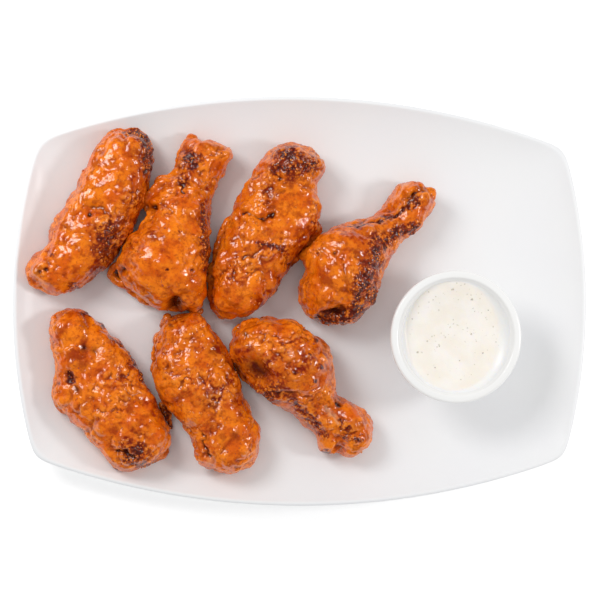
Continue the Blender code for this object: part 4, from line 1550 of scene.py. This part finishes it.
def lower_right_drumette(finish: CrustFinish) -> Wing:
    """The drumette at the lower right, with a dent darkened by browning and painted shade, a pale tendon and
    a bare knuckle.
    """
    return Wing("wing_drumette_3", 91.1, (
        Seam(((-22.7, -16.1), (-12.9, -18.1), (-7, -17.1)), 1.0, rise=-1.0, brown_and_shade=0.36),
        Spot(-29.6, -17.1, 1.5, brown_and_shade=0.8),
        Spot(-11.9, -22, 1.5, char=0.7),
        Spot(-6, -25, 3.0, gloss=0.8, brown_and_shade=0.3),
        Spot(0.9, -26.9, 1.1, rise=0.4, char=0.9),
        Spot(4.8, -20, 1.1, rise=0.4, char=0.9),
        Spot(6.8, -32.8, 1.1, rise=0.4, char=0.9),
        Spot(3.8, -39.7, 1.1, rise=0.4, char=0.9),
        Spot(-6, -35.7, 1.2, rise=-1.1, brown_and_shade=0.8),
        Spot(-24.7, -34.8, 4.5, rise=-2.5, brown_and_shade=0.9, stretch=1.5, turn=-0.6),
        Seam(((-27, -33), (-20.8, -37.7)), 1.0, rise=0.9),
        Seam(((-14.9, -33.8), (-12.9, -37.7)), 2.0, gloss=0.9, brown_and_shade=0.14),
        Seam(((-14.9, -45.6), (-5, -46.6), (0.9, -47.5)), 1.1, rise=-0.9, brown_and_shade=0.32),
        Seam(((-24.7, -45.6), (-18.8, -47.5)), 3.0, char=0.85, rise=0.4, rough=1),
        Seam(((-5, -51.5), (3.8, -59.3), (8.7, -65.2)), 1.0, rise=-0.8, brown_and_shade=0.27),
        Spot(0.9, -58.4, 0.9, char=0.8),
        Strand(((0, -44.5, 24.5), (5.8, -48.5, 23.5), (10.8, -53.5, 21.5), (15, -58.7, 19),
                (17.2, -62, 17)), 1.2),
        Seam(((10.4, -53), (13, -56), (15.4, -59.6)), 0.9, pale=0.5),
        Seam(((20.8, -51.8), (30, -61.8), (30.3, -69.8)), 3.0, rise=0.8, gloss=0.7),
        Spot(17, -51, 1.8, rise=-1.8, brown_and_shade=1),
        Spot(18, -60, 2.0, char=0.7, rough=1),
        Spot(21, -63, 2.0, char=0.7, rough=1),
        Seam(((19.5, -67), (27, -69)), 1.4, rise=0.6, char=0.7, rough=1),
        Spot(24.5, -73.5, 2.0, brown_and_shade=0.5),
        Strand(((9, -66, 14), (10, -70, 12.5), (11.5, -73.5, 11.5)), 2.8),
        Spot(11, -75, 1.8, char=0.95),
        Seam(((16.9, -75), (17.5, -80)), 2.6, rise=-4.5),
        Spot(16.5, -71.5, 1.8, rise=-0.9, brown_and_shade=0.5, char=0.5),
        Strand(((-33, -30, 11), (-29.5, -37, 11), (-24.5, -42.5, 11)), 2.4, char=0.3),
        Strand(((-34.5, -21, 11), (-33, -15.5, 11), (-28.5, -11.5, 11)), 2.0),
        Seam(((27.5, -54), (32, -60), (33.5, -66)), 2.5, rise=-1.0),
        Spot(17.5, -48, 3.0, rise=-1.8, brown_and_shade=0.5),
        Spot(-10, -36, 11.0, ruddy_and_side_shade=0.9),
        Spot(-8, -28, 11.0, rough=0.6),
        Spot(0, -33, 8.0, ruddy_and_side_shade=0.8),
        Spot(6, -57, 8.0, ruddy_and_side_shade=0.6),
        Spot(-22, -34, 8.0, ruddy_and_side_shade=0.9),
        Spot(-16, -45, 6.0, char=0.6, rough=0.8),
        Seam(((-30, -22), (-32, -30), (-26, -40)), 3.5, ruddy_and_side_shade=0.8),
        Seam(((-8, -49), (2, -57), (9, -66)), 3.0, char=0.5, ruddy_and_side_shade=0.8, rough=0.6),
    ), finish)


@dataclass
class Crumbs:
    """Fried batter crumbs that stick to the wings, thickest where the crust is rough or burnt."""

    wings: Sequence[Wing]
    count: int = 900
    smallest: float = 0.28
    largest: float = 0.75

    def build(self, groups: Groups) -> None:
        """Set every crumb into the skin under it, as one joined mesh."""
        random, mesh = np.random.default_rng(5), bmesh.new()
        share = self.count // len(self.wings)
        for wing in self.wings:
            skin = wing.surface
            up = np.clip(skin.normals()[:, 2], 0, 1)
            weight = up * (0.05 + np.clip(wing.rough - 0.5, 0, 1.3) ** 2)
            chosen = random.choice(len(weight), share, replace=False, p=weight / weight.sum())
            for index in chosen:
                size = random.uniform(self.smallest, self.largest) * random.uniform(0.7, 1.0)
                bit = Bit(0, 0, size * MM, random.uniform(1.0, 1.5), random.uniform(0, math.pi))
                place = skin.points[index] * MM - Vector((0, 0, size * 0.15 * MM))
                bit.add_to(mesh, Vector(place), flat=0.8, random=random)
        data = bpy.data.meshes.new("batter_crumbs")
        mesh.to_mesh(data)
        mesh.free()
        piece = add_object("batter_crumbs", data)
        finish = GritFinish("batter_crumbs", light=srgb(232, 130, 40), dark=srgb(176, 66, 12), dullness=0.28)
        piece.data.materials.append(finish.make(groups))
        present(piece, "sauced_crust")


# ---------------------------------------------------------------- the studio


@dataclass(frozen=True)
class SoftLight:
    """A square soft light that faces the plate."""

    name: str
    place: Place
    size: float
    power: float
    tint: Place = (1.0, 0.99, 0.98)

    def hang(self) -> None:
        """Hang the light in its place."""
        data = bpy.data.lights.new(self.name, "AREA")
        data.size = self.size
        data.energy = self.power
        data.color = self.tint
        light = bpy.data.objects.new(self.name, data)
        light.location = self.place
        light.rotation_euler = (-Vector(self.place)).to_track_quat("-Z", "Y").to_euler()
        bpy.context.scene.collection.objects.link(light)


@dataclass
class Studio:
    """A plain pale floor, soft lights from the upper left and the right, even air, and the camera."""

    rim_height: float
    distance: float = 0.700
    lean_across: float = 0.09
    lean_along: float = 0.03
    roll: float = 0.0058
    lens: float = 84.72
    shift: Plan = (-0.008, 0.0005)
    lights: Sequence[SoftLight] = (
        SoftLight("upper_left", (-0.33, 0.25, 0.42), size=0.22, power=1.30),
        SoftLight("right", (0.42, 0.0, 0.38), size=0.10, power=0.72),
    )

    def build(self) -> None:
        """Set up everything that isn't part of the serving."""
        self.lay_floor()
        for light in self.lights:
            light.hang()
        self.brighten_air(strength=0.64, seen=0.03)
        self.set_camera()
        bpy.context.scene.view_settings.view_transform = "Standard"

    def lay_floor(self) -> None:
        """A wide floor just under the plate, so pale that it reads as white."""
        mesh = bpy.data.meshes.new("floor")
        reach, drop = 3.0, -0.0001
        corners = [(-reach, -reach, drop), (reach, -reach, drop), (reach, reach, drop), (-reach, reach, drop)]
        mesh.from_pydata(corners, [], [(0, 1, 2, 3)])
        floor = add_object("floor", mesh)
        material, _, shader = start_material("floor_paper")
        shader.inputs["Base Color"].default_value = (0.86, 0.86, 0.86, 1)
        shader.inputs["Roughness"].default_value = 0.9
        shader.inputs["Specular IOR Level"].default_value = 0.1
        shader.inputs["Emission Color"].default_value = (1, 1, 1, 1)
        shader.inputs["Emission Strength"].default_value = 0.3
        mesh.materials.append(material)

    @staticmethod
    def brighten_air(strength: float, seen: float) -> None:
        """Fill the surroundings with even white light.

        Args:
            strength: How strongly they light the serving.
            seen: How bright they are in reflections, as if the room round the lights were dim.
        """
        world = bpy.data.worlds.new("studio_air")
        world.use_nodes = True
        wiring = Wiring(world.node_tree)
        mirrored = wiring.node("ShaderNodeLightPath").outputs["Is Glossy Ray"]
        air = world.node_tree.nodes["Background"]
        air.inputs["Color"].default_value = (1, 1, 1, 1)
        wiring.tree.links.new(wiring.between(mirrored, strength, seen), air.inputs["Strength"])
        bpy.context.scene.world = world

    def set_camera(self) -> None:
        """Look down on the plate, leaning a little to the left."""
        across, along = self.lean_across, self.lean_along
        back = Vector((-math.sin(across), -math.sin(along), math.cos(across) * math.cos(along))).normalized()
        right = Vector((math.cos(across), 0, math.sin(across)))
        right = (right - back * right.dot(back)).normalized()
        up = back.cross(right)
        turn = Matrix.Rotation(self.roll, 3, "Z")
        axes = Matrix((turn @ right, turn @ up, turn @ back)).transposed()
        data = bpy.data.cameras.new("camera")
        data.lens = self.lens
        data.shift_x, data.shift_y = self.shift
        data.clip_start = 0.01
        camera = bpy.data.objects.new("camera", data)
        camera.matrix_world = Matrix.Translation(
            Vector((0, 0, self.rim_height)) + turn @ back * self.distance) @ axes.to_4x4()
        bpy.context.scene.collection.objects.link(camera)
        bpy.context.scene.camera = camera


def main() -> None:
    """Build the serving piece by piece, then the studio round it."""
    logging.basicConfig(level=logging.INFO, format="%(name)s: %(message)s")
    groups = Groups()
    low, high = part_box("plate")
    plate = Plate(half_length=(high.x - low.x) / 2, half_width=(high.y - low.y) / 2, height=high.z)
    plate.build(groups)
    pot = Pot.from_node("ramekin")
    pot.build(groups)
    Dip(pot, level=pot.height - CREAM_DROP).build(groups)
    flat_finish = CrustFinish("flat_wing_crust")
    drumette_finish = CrustFinish("drumette_crust", patch_scale=120.0)
    makers = (
        (upper_left_flat, flat_finish), (upper_left_drumette, drumette_finish),
        (upper_middle_flat, flat_finish), (upper_right_drumette, drumette_finish),
        (lower_left_flat, flat_finish), (lower_middle_flat, flat_finish),
        (lower_right_drumette, drumette_finish),
    )
    wings = [make(finish) for make, finish in makers]
    materials = {finish.name: finish.make(groups) for finish in (flat_finish, drumette_finish)}
    neighbours = Neighbours([*(wing.node for wing in wings), "ramekin"])
    for wing in wings:
        wing.shape(plate, neighbours.room(wing.node))
        wing.build(materials[wing.finish.name])
    Crumbs(wings).build(groups)
    Studio(rim_height=high.z).build()


if __name__ == "__main__":
    main()
